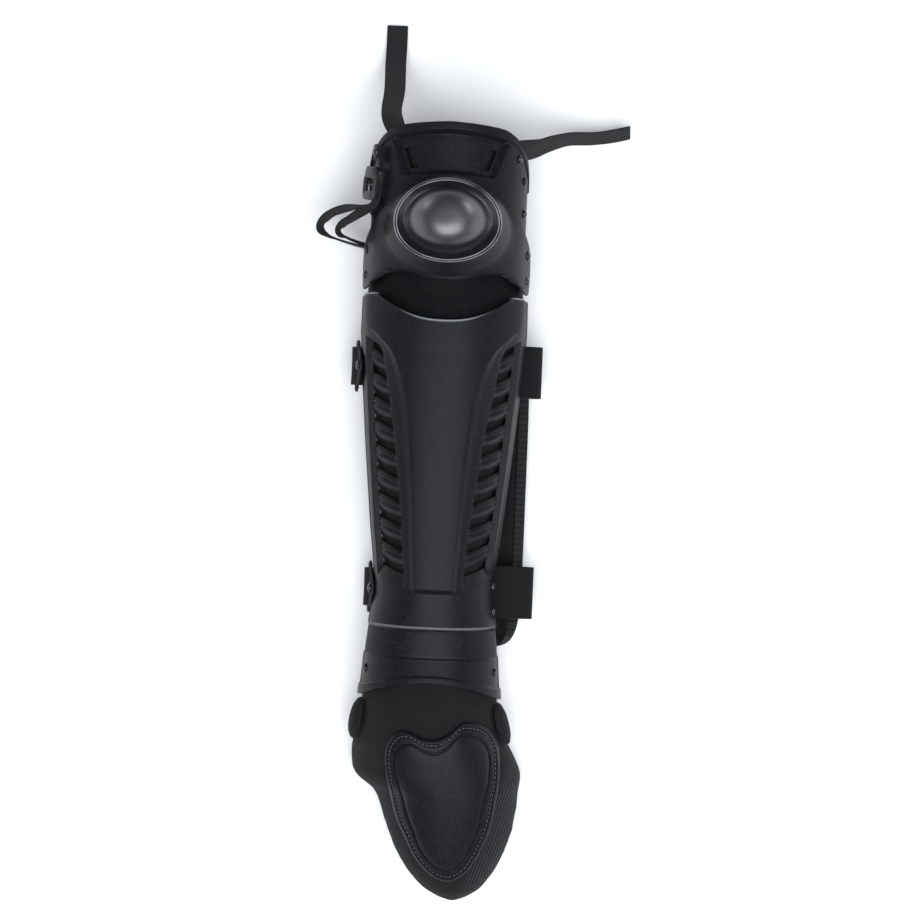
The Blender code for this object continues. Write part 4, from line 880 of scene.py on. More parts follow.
def shin_rows():
    """Named rows of the shin plate, each with the fine steps down to the next."""
    rows = [(0.0, "rim", 2), (LIP_WIDTH * 0.22, "rim", 1), (LIP_WIDTH * 0.34, "plain", 8)]
    rows += [(WINDOW_TOP * 0.55, "plain", 8), (WINDOW_TOP - LOUVRE_CREST * 0.45, "head", 3)]
    for i in range(LOUVRE_COUNT):
        gap = WINDOW_TOP + i * LOUVRE_PITCH
        rows += [(gap, "gap", 3), (gap + LOUVRE_GAP, "slat", 3)]
        if i < LOUVRE_COUNT - 1:
            rows += [(gap + LOUVRE_GAP + LOUVRE_CREST * 0.52, "brow", 2)]
            rows += [(gap + LOUVRE_GAP + LOUVRE_CREST * 0.80, "fold", 2)]
            rows += [(gap + LOUVRE_GAP + LOUVRE_CREST * 1.08, "crest", 3)]
    windows_end = WINDOW_TOP + (LOUVRE_COUNT - 1) * LOUVRE_PITCH + LOUVRE_GAP
    sill_end = windows_end + LOUVRE_CREST + WINDOW_WALL
    band_end = BAND_TOP + BAND_WIDTH
    rows += [(sill_end, "sill", 3), (sill_end + PANEL_END_LENGTH, "panel_end", 8)]
    rows += [(BAND_TOP, "low", 2), (BAND_TOP + BAND_RAISE * 0.6, "band", 6)]
    rows += [(band_end - BAND_RAISE * 0.6, "band", 2), (band_end, "low", 10)]
    rows += [(SHIN_LENGTH - LIP_WIDTH - LIP_RAISE, "low", 2), (SHIN_LENGTH - LIP_WIDTH, "lip", 4)]
    rows += [(SHIN_LENGTH, "lip", 0)]
    return rows


PANEL_NAMES = ("front", "near", "middle", "panel")
WINDOW_KINDS = ("head", "gap", "slat", "brow", "fold", "crest", "sill")


def shin_raise(down, kind, name):
    """How far a crossing of the shin plate's named lines stands out of its section."""
    raised = 0.0
    if down < BAND_TOP and kind not in ("low", "panel_end"):
        if name in PANEL_NAMES:
            raised = PANEL_RAISE
        elif name == "foot":
            raised = PANEL_RAISE * 0.30
    if name == "outer_foot" and kind in WINDOW_KINDS[1:-1]:
        raised -= LOUVRE_DEPTH
    elif name in CUT_NAMES:
        depths = {"gap": 1.0, "slat": 0.85, "brow": 0.10, "fold": 0.42, "crest": 0.05}
        raised -= LOUVRE_DEPTH * depths.get(kind, 0.0)
    if kind == "band" and name not in ("edge", "bead", "bead_foot", "flange"):
        raised = BAND_RAISE
    if kind == "lip":
        raised = LIP_RAISE
    if name in ("bead", "edge") and kind not in ("band", "lip"):
        raised += 0.0009
    if kind == "rim" and name not in ("bead", "edge"):
        raised += 0.0007
    return raised


def row_lines(counts):
    """Which row each line of the grid starts from, and how far it is to the next one."""
    lines = [(i, step / count) for i, count in enumerate(counts[:-1]) for step in range(count)]
    return [*lines, (len(counts) - 2, 1.0)]


def openings(lines, columns, is_open):
    """The cells to cut out: is_open(row, name) tells it by the name of the edge nearer the front."""
    cells = set()
    for line, (row, _) in enumerate(lines[:-1]):
        for column, (one, two) in enumerate(zip(columns, columns[1:])):
            nearer = one if one[0] > 0 else two
            if is_open(row, nearer[1]):
                cells.add((column, line))
    return cells


def shin_plate(edge_width):
    """One moulded shell: raised front panel, two columns of louvres, a band and a flared lower lip."""
    names = [name for name, _ in SHIN_COLUMNS]
    columns = mirrored(finer(names, [steps for _, steps in SHIN_COLUMNS][:-1]))
    rows = shin_rows()
    lines = row_lines([row[2] for row in rows])
    turns = {}
    band_end = BAND_TOP + BAND_WIDTH

    def at(column, row):
        i, share = lines[row]
        side, a, b, across = columns[column]
        first, second = rows[i], rows[i + 1]
        down = mixed(first[0], second[0], share)
        if row not in turns:
            turns[row] = shin_turns(down)
        here = turns[row]
        turn = mixed(here[a], here[b], across)
        fall = across**2.6 if b == "outer_foot" else across
        corners = [mixed(shin_raise(r[0], r[1], a), shin_raise(r[0], r[1], b), fall) for r in (first, second)]
        raised = mixed(corners[0], corners[1], share)
        half_width, depth = shin_size(SHIN_TOP - down)
        out = math.sin(turn * QUARTER)
        y = SHIN_TOP - down
        y -= TOP_DIP * max(0.0, 1 - down / WINDOW_TOP) * (1 - min(out / TOP_DIP_WIDTH, 1.0) ** TOP_DIP_POWER)
        y += ANKLE_ARCH * max(0.0, (down - band_end) / (SHIN_LENGTH - band_end)) * (1 - out**2)
        slant = mixed(first[1] in WINDOW_KINDS, second[1] in WINDOW_KINDS, share)
        reach = min(max((turn - here["inner"]) / (here["outer"] - here["inner"]), 0.0), 1.0)
        y += LOUVRE_RISE * reach * slant
        if slant > 0.99 and 0 < reach < 1:
            y -= LOUVRE_DROOP * eased(0.72, 1.0, reach) * (1 if first[1] in ("brow", "fold", "crest") else 0.4)
        return moved_to(section_point(half_width, depth, EDGE_HEIGHT, side * turn, raised), y)

    def is_open(row, name):
        return rows[row][1] == "gap" and name in ("inner_foot", "centre")

    open_cells = openings(lines, columns, is_open)
    made = laid("shin_shell", len(columns) - 1, len(lines) - 1, at, open_cells=open_cells)
    walled(made, WALL)
    eased_edges(made, edge_width, 2, 26)
    return shaded(made, 38)


THIGH_COLUMNS = (
    ("front", 5), ("middle", 5), ("slot_in", 3), ("slot_out", 2), ("foot", 2), ("crest", 4),
    ("shoulder", 4), ("side", 4), ("low", 4), ("edge", 0),
)
OUTSIDE_RECESS = ("crest", "shoulder", "side", "low", "edge")


def thigh_outline(turn, edge):
    return THIGH_AXIS_Y + THIGH_LENGTH * smooth(THIGH_OUTLINE, "turn", edge, abs(turn))


def thigh_turns(drop):
    share = min(max((drop - TOP_LIP) / (RECESS_LENGTH - TOP_LIP), 0.0), 1.0)
    crest = RECESS_HALF_WIDTH - RECESS_TAPER * share
    foot = crest - RECESS_WALL
    slot = foot - mixed(SLOT_INSET, SLOT_INSET * 2.2, share)
    outs = {"front": 0.0, "middle": (slot - SLOT_WIDTH) * 0.5, "slot_in": slot - SLOT_WIDTH}
    outs |= {"slot_out": slot, "foot": foot, "crest": crest}
    turns = {name: turn_at(out, THIGH_HALF_WIDTH) for name, out in outs.items()}
    rest = (1 - turns["crest"]) / 4
    for step, name in enumerate(("shoulder", "side", "low", "edge"), 1):
        turns[name] = turns["crest"] + rest * step
    return turns


def thigh_plate(edge_width):
    """A curved plate with a raised top lip and a sunk panel that has a slot near each side."""
    rows = [
        (0.0, "lip", 0.0, 3), (TOP_LIP - TOP_LIP_RAISE, "lip", 0.0, 1), (TOP_LIP, "plain", 0.0, 2),
        (TOP_LIP + RECESS_WALL * 0.7, "sunk", 0.0, 5), (SLOT_DROP, "slot", 0.0, 5),
        (SLOT_DROP + SLOT_LENGTH, "sunk", 0.0, 2), (RECESS_LENGTH - RECESS_WALL, "sunk", 0.0, 2),
        (RECESS_LENGTH, "plain", 0.0, 6), (RECESS_LENGTH, "plain", 0.35, 6), (RECESS_LENGTH, "plain", 0.7, 6),
        (RECESS_LENGTH, "plain", 1.0, 0),
    ]
    columns = mirrored(finer([name for name, _ in THIGH_COLUMNS], [n for _, n in THIGH_COLUMNS][:-1]))
    lines = row_lines([row[3] for row in rows])

    def raise_of(row, name):
        if row[1] == "lip":
            return TOP_LIP_RAISE
        return -RECESS if row[1] in ("sunk", "slot") and name not in OUTSIDE_RECESS else 0.0

    def at(column, row):
        i, share = lines[row]
        side, a, b, across = columns[column]
        first, second = rows[i], rows[i + 1]
        drop = mixed(first[0], second[0], share)
        here = thigh_turns(drop)
        turn = mixed(here[a], here[b], across)
        y = mixed(thigh_outline(turn, "top") - drop, thigh_outline(turn, "bottom"), mixed(first[2], second[2], share))
        corners = [mixed(raise_of(r, a), raise_of(r, b), across) for r in (first, second)]
        raised = mixed(corners[0], corners[1], share)
        return moved_to(section_point(THIGH_HALF_WIDTH, THIGH_DEPTH, EDGE_HEIGHT, side * turn, raised), y)

    def is_open(row, name):
        return rows[row][1] == "slot" and name == "slot_in"

    open_cells = openings(lines, columns, is_open)
    made = laid("thigh_shell", len(columns) - 1, len(lines) - 1, at, open_cells=open_cells)
    walled(made, WALL)
    eased_edges(made, edge_width, 2, 24)
    return shaded(made, 36)


# The dome from its tip to its foot: share of its half width, share of its height
DOME_STEPS = (0.012, 0.06, 0.12, 0.18, 0.24, 0.30, 0.36, 0.42, 0.48, 0.53, 0.57, 0.60, 0.62)
DOME_PROFILE = (
    *((out, 1 - 0.6 * (out / 0.62) ** 3.5) for out in DOME_STEPS),
    (0.630, 0.385), (0.642, 0.375), (0.662, 0.378),
    (0.680, 0.392), (0.720, 0.440), (0.760, 0.492), (0.780, 0.515), (0.787, 0.545), (0.796, 0.562), (0.805, 0.550),
    (0.812, 0.520), (0.819, 0.512), (0.827, 0.528), (0.836, 0.548), (0.845, 0.536), (0.854, 0.500), (0.872, 0.440),
    (0.905, 0.340), (0.945, 0.215), (0.975, 0.120), (0.988, 0.072), (1.000, 0.050),
)
DOME_TILT = 0.16
RING_SHIFT = 0.0052
# Reach of the two ring beads, where the cap's finish paints a highlight
PAINTED_RING_REACH = (0.799, 0.838)
# Pale grey of the painted highlights on the shin plate's edges and the knee cap's ring beads
HIGHLIGHT_GREY = (0.23, 0.238, 0.25)

# The rings lean towards the knee: how far each one's middle stands from the base ring's
DOME_SHIFT = listed(
    "out shift",
    (0.00, 0.0086), (0.60, 0.0084), (0.70, 0.0070), (0.80, 0.0056), (0.86, 0.0044), (0.93, 0.0022), (1.00, 0.0),
)


def cap_point(side, angle, out, up):
    across = DOME_HALF_WIDTH * out * math.cos(math.radians(angle))
    along = DOME_HALF_LENGTH * out * math.sin(math.radians(angle)) + smooth(DOME_SHIFT, "out", "shift", out)
    turn = turn_at(across, CAP_HALF_WIDTH)
    return cap_surface(side * turn, DOME_Y + along) + Vector((0, 0, DOME_HEIGHT * up))


def knee_cap(spokes=288):
    """The dome with its two raised ring beads, a skirt over the thigh plate and two wings to the knee rivets."""
    rings = len(DOME_PROFILE) + SKIRT_ROWS
    ends = [{"angle": 118, "turn": -0.29, "up": 0.80}, {"angle": -98, "turn": -0.17, "up": -0.99}]
    outline = (*CAP_OUTLINE, *ends)

    def at(column, row):
        turned = 90 - 360 * column / spokes
        angle = math.degrees(math.asin(max(-1.0, min(1.0, math.sin(math.radians(turned))))))
        side = 1 if math.cos(math.radians(turned)) >= 0 else -1
        if row < len(DOME_PROFILE):
            out, up = DOME_PROFILE[row]
            lean = DOME_TILT * out * eased(0.66, 0.60, out)
            dip = 0.16 * math.exp(-(((out - 0.668) * 34) ** 2)) * max(-math.sin(math.radians(angle)), 0)
            return cap_point(side, angle, out, up - lean * math.sin(math.radians(angle)) - dip)
        share = (row - len(DOME_PROFILE) + 1) / SKIRT_ROWS
        turn = smooth(outline, "angle", "turn", angle)
        up = smooth(outline, "angle", "up", angle)
        across = CAP_HALF_WIDTH * math.sin(turn * QUARTER) / DOME_HALF_WIDTH
        least = SKIRT_START * math.sqrt(max(1 - across * across, 0.0))
        if abs(angle) > 50:
            up = math.copysign(max(abs(up), least), angle)
        y = DOME_Y + DOME_HALF_LENGTH * up
        inner_turn = turn_at(DOME_HALF_WIDTH * math.cos(math.radians(angle)), CAP_HALF_WIDTH)
        inner_y = DOME_Y + DOME_HALF_LENGTH * math.sin(math.radians(angle))
        reach = math.hypot(CAP_HALF_WIDTH * 1.3 * (turn - inner_turn), y - inner_y)
        flare = CAP_FLARE * eased(0.70, 0.92, share) * eased(12, -20, angle) * min(reach / 0.014, 1.0)
        return cap_surface(side * mixed(inner_turn, turn, share), mixed(inner_y, y, share), flare)

    made = laid("knee_cap_shell", spokes, rings - 1, at, closed=True)
    fill_ends(made)
    walled(made, WALL * 0.55, even=False)
    return shaded(made, 34)


def fill_ends(made, most=0.02):
    """Closes a ring of open edges shorter than most all round, such as the hole at a pole."""
    only(made)
    shape = bmesh.new()
    shape.from_mesh(made.data)
    loops, seen = [], set()
    for edge in shape.edges:
        if not edge.is_boundary or edge in seen:
            continue
        loop, line = [], [edge]
        while line:
            here = line.pop()
            if here in seen:
                continue
            seen.add(here)
            loop.append(here)
            line += [e for v in here.verts for e in v.link_edges if e.is_boundary and e not in seen]
        loops.append(loop)
    for loop in loops:
        if sum(edge.calc_length() for edge in loop) < most:
            bmesh.ops.holes_fill(shape, edges=loop)
    shape.to_mesh(made.data)
    shape.free()
    return made


def link_plate(edge_width):
    """The dull inner plate between the cap and the shin plate, with its folded facets."""
    low = SHIN_TOP - TOP_DIP - LINK_OVERLAP
    columns, rows = 72, 34

    def at(column, row):
        turn = -1 + 2 * column / columns
        share = row / rows * 2
        top = KNEE_AXIS_Y + LINK_REACH * smooth(LINK_OUTLINE, "turn", "top", abs(turn))
        base = SHIN_TOP - LINK_BASE
        end = mixed(low, base - LINK_SIDE, min(abs(turn) * 2, 1.0))
        y = mixed(top, base, share) if share <= 1 else mixed(base, end, share - 1)
        inside = shin_surface(turn, min(y, SHIN_TOP), WALL + LINK_FIT)
        outside = thigh_surface(turn, y, LINK_SWING)
        point = inside.lerp(outside, min(max((y - SHIN_TOP) / (KNEE_AXIS_Y - SHIN_TOP), 0.0), 1.0))
        reach = min(max(y - KNEE_AXIS_Y, 0.0), LINK_ARC * 0.98)
        above = point.z - AXIS_HEIGHT
        if above > 0:
            point.z = AXIS_HEIGHT + above * math.sqrt(1 - (reach / LINK_ARC) ** 2)
        return Vector((point.x, y, point.z))

    made = laid("link_shell", columns, rows, at)
    walled(made, WALL)
    eased_edges(made, edge_width, 2, 40)
    return shaded(made, 40)


def toe_reach(angle, share, inset=0.0):
    """A point of the toe plate's outline at an angle round its middle, drawn in by inset metres."""
    table = TOE_OUTLINE + tuple(
        {"angle": row["angle"] + turn, "reach": row["reach"]} for row in TOE_OUTLINE for turn in (-360, 360)
    )
    reach = smooth(table, "angle", "reach", angle) * share
    turned = math.radians(angle)
    out, up = TOE_PLATE_HALF_WIDTH * math.cos(turned), TOE_PLATE_LENGTH / 2 * math.sin(turned)
    flat = Vector((out * reach, up * reach, 0))
    flat *= 1 - inset / flat.length
    x = foot_size(TOE_PLATE_Y)[0] - TOE_SHIFT + flat.x - TOE_LEAN * flat.y
    y = TOE_PLATE_Y + flat.y
    return x, y


# The toe plate from its edge inwards: inset in metres, height over its seat
TOE_PROFILE = (
    (0.0000, 0.0002), (0.0006, 0.0016), (0.0020, 0.0024), (0.0034, 0.0024), (0.0042, 0.0006), (0.0058, 0.0006),
    (0.0066, 0.0023), (0.0085, 0.0026), (0.0108, 0.0026), (0.0115, 0.0012), (0.0126, 0.0012), (0.0133, 0.0030),
    (0.0160, 0.0038), (0.0200, 0.0042),
)


def toe_plate(edge_width, spokes=120):
    """The stiff plate on the instep, with a sewn groove round it and a raised inner panel."""
    inner = 8
    rings = len(TOE_PROFILE) + inner

    def at(column, row):
        angle = 90 - 360 * column / spokes
        if row < len(TOE_PROFILE):
            inset, up = TOE_PROFILE[row]
            x, y = toe_reach(angle, 1.0, inset)
        else:
            share = 1 - (row - len(TOE_PROFILE) + 1) / inner
            x, y = toe_reach(angle, max(share, 0.004), TOE_PROFILE[-1][0] * share)
            up = TOE_PROFILE[-1][1] + 0.0012 * (1 - share)
        return Vector((x, y, foot_height(x, y) + TOE_PLATE_SEAT + up))

    made = laid("toe_plate_shell", spokes, rings - 1, at, closed=True)
    fill_ends(made)
    walled(made, TOE_PLATE_WALL, even=False)
    eased_edges(made, edge_width * 0.7, 2, 30)
    return shaded(made, 38)


def stitch_at(name, spot, along, up, length, width):
    """One raised stitch: a rounded bar that dips in at both ends."""
    deselect()
    bpy.ops.mesh.primitive_uv_sphere_add(segments=8, ring_count=5, radius=0.5)
    made = bpy.context.object
    made.name = name
    side = up.cross(along).normalized()
    up = along.cross(side).normalized()
    turned = Matrix((along.normalized(), side, up)).transposed().to_4x4()
    made.matrix_world = Matrix.Translation(spot) @ turned @ Matrix.Diagonal((length, width, width * 0.8, 1))
    return settle(made)


def stitched(name, spots, length, width):
    """A run of stitches: the first is modelled, and the others are copies with meshes of their own."""
    first = stitch_at(name, Vector(), Vector((1, 0, 0)), Vector((0, 0, 1)), length, width)
    made = []
    for spot, along, up in spots:
        copy = first.copy()
        copy.data = first.data.copy()
        bpy.context.scene.collection.objects.link(copy)
        side = up.cross(along).normalized()
        turned = Matrix((along.normalized(), side, along.cross(side).normalized())).transposed().to_4x4()
        copy.data.transform(Matrix.Translation(spot) @ turned)
        made.append(copy)
    bpy.data.objects.remove(first)
    return shaded(joined(name, made), 60)


def along_route(points, pitch, up_of):
    """Spots for stitches each pitch along a line of points."""
    spots, left = [], pitch / 2
    for a, b in zip(points, points[1:]):
        step = b - a
        while left <= step.length:
            spot = a + step.normalized() * left
            spots.append((spot, step.normalized(), up_of(spot)))
            left += pitch
        left -= step.length
    return spots


def lining(name, surface, stops, wrinkle=0.0):
    """A foam sheet behind a plate, softly crowned between its edges."""
    columns, steps = 56, 10
    rows = []
    for (y, inset, reach), (next_y, next_inset, next_reach) in zip(stops, stops[1:]):
        rows += [
            (mixed(y, next_y, s / steps), mixed(inset, next_inset, s / steps), mixed(reach, next_reach, s / steps))
            for s in range(steps)
        ]
    rows.append(stops[-1])

    def at(column, row):
        y, inset, reach = rows[row]
        turn = reach * (-1 + 2 * column / columns)
        spot = surface(turn, y, inset)
        ripple = noise.noise(Vector((turn * 4, y * 60, 3.0))) * wrinkle
        return spot + Vector((-math.sin(turn * QUARTER), 0, -math.cos(turn * QUARTER))) * abs(ripple)

    def cloth(column, row):
        y, _, reach = rows[row]
        return (reach * (-1 + 2 * column / columns) * QUARTER * LINING_RADIUS, y)

    made = laid(name, columns, len(rows) - 1, at, cloth=cloth)
    walled(made, FOAM - wrinkle)
    eased_edges(made, 0.0022, 3, 50)
    return shaded(made, 60)


def shin_lining_stops():
    top, end = SHIN_TOP - 0.041, SHIN_TOP - SHIN_LENGTH + 0.046
    inset = WALL + LOUVRE_DEPTH + LINING_FIT
    return [(mixed(top, end, i / 6), inset, LINING_TURN) for i in range(7)]


def thigh_lining_stops():
    top = THIGH_AXIS_Y + THIGH_LENGTH
    panel_end = top - RECESS_LENGTH
    low, high = WALL + LINING_FIT, WALL + RECESS + LINING_FIT
    return [
        (top - TOP_LIP - FOAM, high, PANEL_LINING_TURN), (mixed(panel_end, top, 0.5), high, PANEL_LINING_TURN),
        (panel_end + RECESS, high, PANEL_LINING_TURN),
        (panel_end - RECESS * 1.5, low, mixed(PANEL_LINING_TURN, LINING_TURN, 0.5)),
        (panel_end - RECESS * 4, low, LINING_TURN), (THIGH_AXIS_Y + 0.022, low, LINING_TURN),
    ]


def foot_cover(name, wall, wrinkle):
    """The padded cover over instep and toes, with its folds by the ankle and its drawn-in toe."""
    columns, rows = 120, 150

    def at(column, row):
        turn = -1 + 2 * column / columns
        share = row / rows
        half = 1 - 0.5**TOE_CROWDING
        down = 1 - (1 - share) ** TOE_CROWDING if share > 0.5 else share * half / 0.5
        y = FOOT_TOP - FOOT_LENGTH * down
        fold = noise.noise(Vector((turn * 3.0, down * 9.0, 1.7))) * 0.9
        fold += noise.noise(Vector((turn * 7.0 + down * 5, down * 22.0, 5.1))) * 0.45
        fade = eased(0.0, 0.12, down) * eased(1.0, 0.9, down) * (0.35 + 0.65 * eased(0.55, 0.9, abs(turn)))
        crease = -math.exp(-(((down - 0.30) * 26) ** 2)) * eased(0.35, 0.8, abs(turn)) * 1.4
        crease -= math.exp(-(((down - 0.21) * 30) ** 2)) * eased(0.5, 0.9, abs(turn)) * 0.9
        return foot_surface(turn, y, (fold * fade + crease * fade - 0.4) * wrinkle)

    def cloth(column, row):
        turn = -1 + 2 * column / columns
        return (turn * COVER_REACH, row / rows * FOOT_LENGTH * 1.08)

    made = laid(name, columns, rows, at, cloth=cloth)
    fill_ends(made, 0.05)
    walled(made, wall, even=False)
    eased_edges(made, 0.0012, 3, 55)
    return shaded(made, 55)


def ankle_cup(name, turn, wall):
    """A padded ear over the ankle bone, domed and sewn down round its edge."""
    spokes, rings = 48, 14
    turn_radius = foot_size(CUP_Y)[1] * QUARTER

    def at(column, row):
        angle = -2 * math.pi * column / spokes
        share = max(row / rings, 0.004)
        up = CUP_RADIUS * share * math.sin(angle)
        around = turn + CUP_RADIUS * CUP_NARROWING * share * math.cos(angle) / turn_radius
        _, half_width, depth, _ = foot_size(CUP_Y + up)
        outward = section_normal((half_width, depth), around)
        height = math.sqrt(max(1 - share**2.6, 0.0)) * (1 - 0.10 * math.exp(-(((share - 0.80) * 16) ** 2)))
        return foot_surface(around, CUP_Y + up) + outward * (CUP_SEAT + CUP_HEIGHT * 0.75 * height)

    def cloth(column, row):
        angle = -2 * math.pi * column / spokes
        reach = CUP_RADIUS * row / rings
        return (reach * math.cos(angle), reach * math.sin(angle))

    outward = section_normal(foot_size(CUP_Y)[1:3], turn)
    made = laid(name, spokes, rings, at, cloth=cloth, outward=outward, closed=True)
    fill_ends(made, 0.01)
    walled(made, wall, even=False)
    return shaded(made, 60)


def calf_pad(name, swell):
    """The mesh-faced pad behind the calf: flat below, its long sides turned up, its faces crowned."""
    columns, rows = 72, 150

    def at(column, row):
        y = PAD_MIDDLE + PAD_LENGTH / 2 * math.cos(math.pi * row / rows)
        across = -math.cos(math.pi * column / columns)
        x = PAD_OFFSET + pad_half_width(y) * mixed(across, math.sin(across * QUARTER), 0.2)
        rise = max(abs(x - PAD_OFFSET) / PAD_HALF_WIDTH - PAD_FLAT, 0) / (1 - PAD_FLAT)
        return Vector((x, y, PAD_CURL * rise**2))

    def cloth(column, row):
        place = at(column, row)
        return (place.x, place.y)

    made = laid(name, columns, rows, at, cloth=cloth, outward=(0, 0, -1))
    walled(made, PAD_THICKNESS)
    only(made)
    for vert in made.data.vertices:
        if vert.normal.z > 0.3:
            along = min(abs(vert.co.y - PAD_MIDDLE) * 2 / PAD_LENGTH, 1.0)
            aside = min(abs(vert.co.x - PAD_OFFSET) / PAD_HALF_WIDTH, 1.0)
            channel = math.exp(-((abs(aside - 0.82) * 22) ** 2)) + math.exp(-((abs(along - 0.90) * 34) ** 2))
            for seam in (-0.32, 0.32):
                channel += math.exp(-((((vert.co.x - PAD_OFFSET) / PAD_HALF_WIDTH - seam) * 26) ** 2)) * 0.8
            vert.co.z += swell * (1 - aside**4) * (1 - along**6) - swell * 0.9 * min(channel, 1.0)
    eased_edges(made, 0.0042, 4, 50)
    return shaded(made, 60)


def curve_point(before, a, b, after, t):
    return (
        a * 2 + (b - before) * t
        + (before * 2 - a * 5 + b * 4 - after) * t * t
        + (a * 3 - before - b * 3 + after) * t**3
    ) / 2


def drawn(stops, steps):
    """Rows of (point, across) on a smooth curve through the given rows."""
    points = [(Vector(point), Vector(across).normalized()) for point, across in stops]
    made = []
    for i in range(len(points) - 1):
        before, a, b, after = (points[min(max(k, 0), len(points) - 1)] for k in range(i - 1, i + 3))
        for step in range(steps):
            t = step / steps
            made.append(tuple(curve_point(before[k], a[k], b[k], after[k], t) for k in range(2)))
    made.append(points[-1])
    return made


def strap(name, stops, width, thickness, steps=10, columns=10, bow=0.0, edge=0.0005):
    """A strap along stops, each a place and the direction across it there, with a slight bow across."""
    route = drawn(stops, steps)
    reached = [0.0]
    for a, b in zip(route, route[1:]):
        reached.append(reached[-1] + (b[0] - a[0]).length)

    def frame_at(row):
        point, across = route[row]
        ahead = route[min(row + 1, len(route) - 1)][0] - route[max(row - 1, 0)][0]
        side = (across - ahead * across.dot(ahead) / ahead.length_squared).normalized()
        return point, side, side.cross(ahead).normalized()

    def at(column, row):
        point, side, face = frame_at(row)
        share = -1 + 2 * column / columns
        return point + side * (width / 2 * share) + face * (thickness / 2 - bow * share * share)

    def cloth(column, row):
        return ((-1 + 2 * column / columns) * width / 2, reached[row])

    made = laid(name, columns, len(route) - 1, at, cloth=cloth)
    _, _, face = frame_at(0)
    first = made.data.polygons[0].normal
    if first.dot(face) < 0:
        edit(made, bpy.ops.mesh.flip_normals)
    walled(made, thickness, even=False)
    eased_edges(made, edge, 2, 45)
    return shaded(made, 50)


def rivet_head(name, radius, rise, segments=28):
    """A domed rivet with a washer's rim and a small dimple, standing on z = 0."""
    deselect()
    bpy.ops.mesh.primitive_cylinder_add(
        vertices=segments, radius=radius, depth=rise * 0.34, location=(0, 0, rise * 0.17)
    )
    made = bpy.context.object
    made.name = made.data.name = name
    settle(made)
    only(made)
    bpy.ops.object.mode_set(mode="EDIT")
    bpy.ops.mesh.select_mode(type="FACE")
    bpy.ops.mesh.select_all(action="DESELECT")
    bpy.ops.object.mode_set(mode="OBJECT")
    for face in made.data.polygons:
        face.select = face.normal.z > 0.9
    bpy.ops.object.mode_set(mode="EDIT")
    for inset, up in ((0.16, -0.06), (0.06, 0.30), (0.20, 0.22), (0.22, 0.12), (0.14, 0.02), (0.03, -0.14)):
        bpy.ops.mesh.inset(thickness=radius * inset)
        bpy.ops.transform.translate(value=(0, 0, rise * up))
    bpy.ops.mesh.select_mode(type="VERT")
    bpy.ops.object.mode_set(mode="OBJECT")
    modified(made, "BEVEL", width=radius * 0.03, segments=2, limit_method="ANGLE", angle_limit=math.radians(35))
    return shaded(made, 45)


def rivet_spots():
    """Every rivet: its node, body, place and outward direction, and its head's size."""
    made = []
    hinge_turn = 1 - math.asin((AXIS_HEIGHT - EDGE_HEIGHT) / CAP_DEPTH) / QUARTER
    cap = (CAP_HALF_WIDTH, CAP_DEPTH)
    for name, y in (("thigh", THIGH_AXIS_Y), ("knee", KNEE_AXIS_Y)):
        for side, word in ((-1, "left"), (1, "right")):
            turn = side * hinge_turn
            spot, outward = cap_surface(turn, y), section_normal(cap, turn)
            made.append((f"{name}_rivet_{word}", "knee_cap_body", spot, outward, 1.0))
    thigh = (THIGH_HALF_WIDTH, THIGH_DEPTH)
    for word, turn, up in (("top", 0.68, 0.088), ("mid", 0.80, 0.069), ("low", 0.82, 0.039), ("outer", -0.88, 0.037)):
        spot = thigh_surface(turn, THIGH_AXIS_Y + up)
        made.append((f"thigh_side_rivet_{word}", "thigh_body", spot, section_normal(thigh, turn), 0.86))
    rows = (
        ("shin_rivet_upper", 0.86, 0.7173), ("shin_rivet_lower", 0.86, 0.7787),
        ("ankle_rivet_outer", -0.80, 0.9307), ("ankle_rivet_inner", 0.80, 0.9307),
    )
    for name, turn, down in rows:
        y = SHIN_TOP - SHIN_LENGTH * down
        made.append((name, "shin_guard", shin_surface(turn, y), section_normal(shin_size(y), turn), 0.9))
    return made


HOOK_THICKNESS = 0.0024
HOOK_LENGTH = 0.031
HOOK_BASE = 0.052
HOOK_BAR = 0.0034
HOOK_SLOT = 0.0062
HOOK_TOP_LENGTH = 0.025
HOOK_TOP_BASE = 0.025
HOOK_TOP_LIFT = 0.0042
HOOK_TOP_LEAN = 0.30
HOOK_TOP_TURN = 0.66
HOOK_TURN = 0.90
HOOK_STANDOFF = 0.0006
HOOK_APEX = RIVET_HEAD * 1.5
BUCKLE_LENGTH = 0.031
BUCKLE_WIDTH = 0.023
BUCKLE_THICKNESS = 0.004
BUCKLE_RIM = 0.0035
BUCKLE_LAP = 0.004


def rounded(outline, radius, steps=6):
    made = []
    for i, corner in enumerate(outline):
        here = Vector((*corner, 0))
        before = Vector((*outline[i - 1], 0)) - here
        after = Vector((*outline[(i + 1) % len(outline)], 0)) - here
        start = here + before.normalized() * min(radius, before.length * 0.45)
        end = here + after.normalized() * min(radius, after.length * 0.45)
        for step in range(steps + 1):
            t = step / steps
            point = start * (1 - t) ** 2 + here * 2 * t * (1 - t) + end * t**2
            made.append((point.x, point.y))
    return made


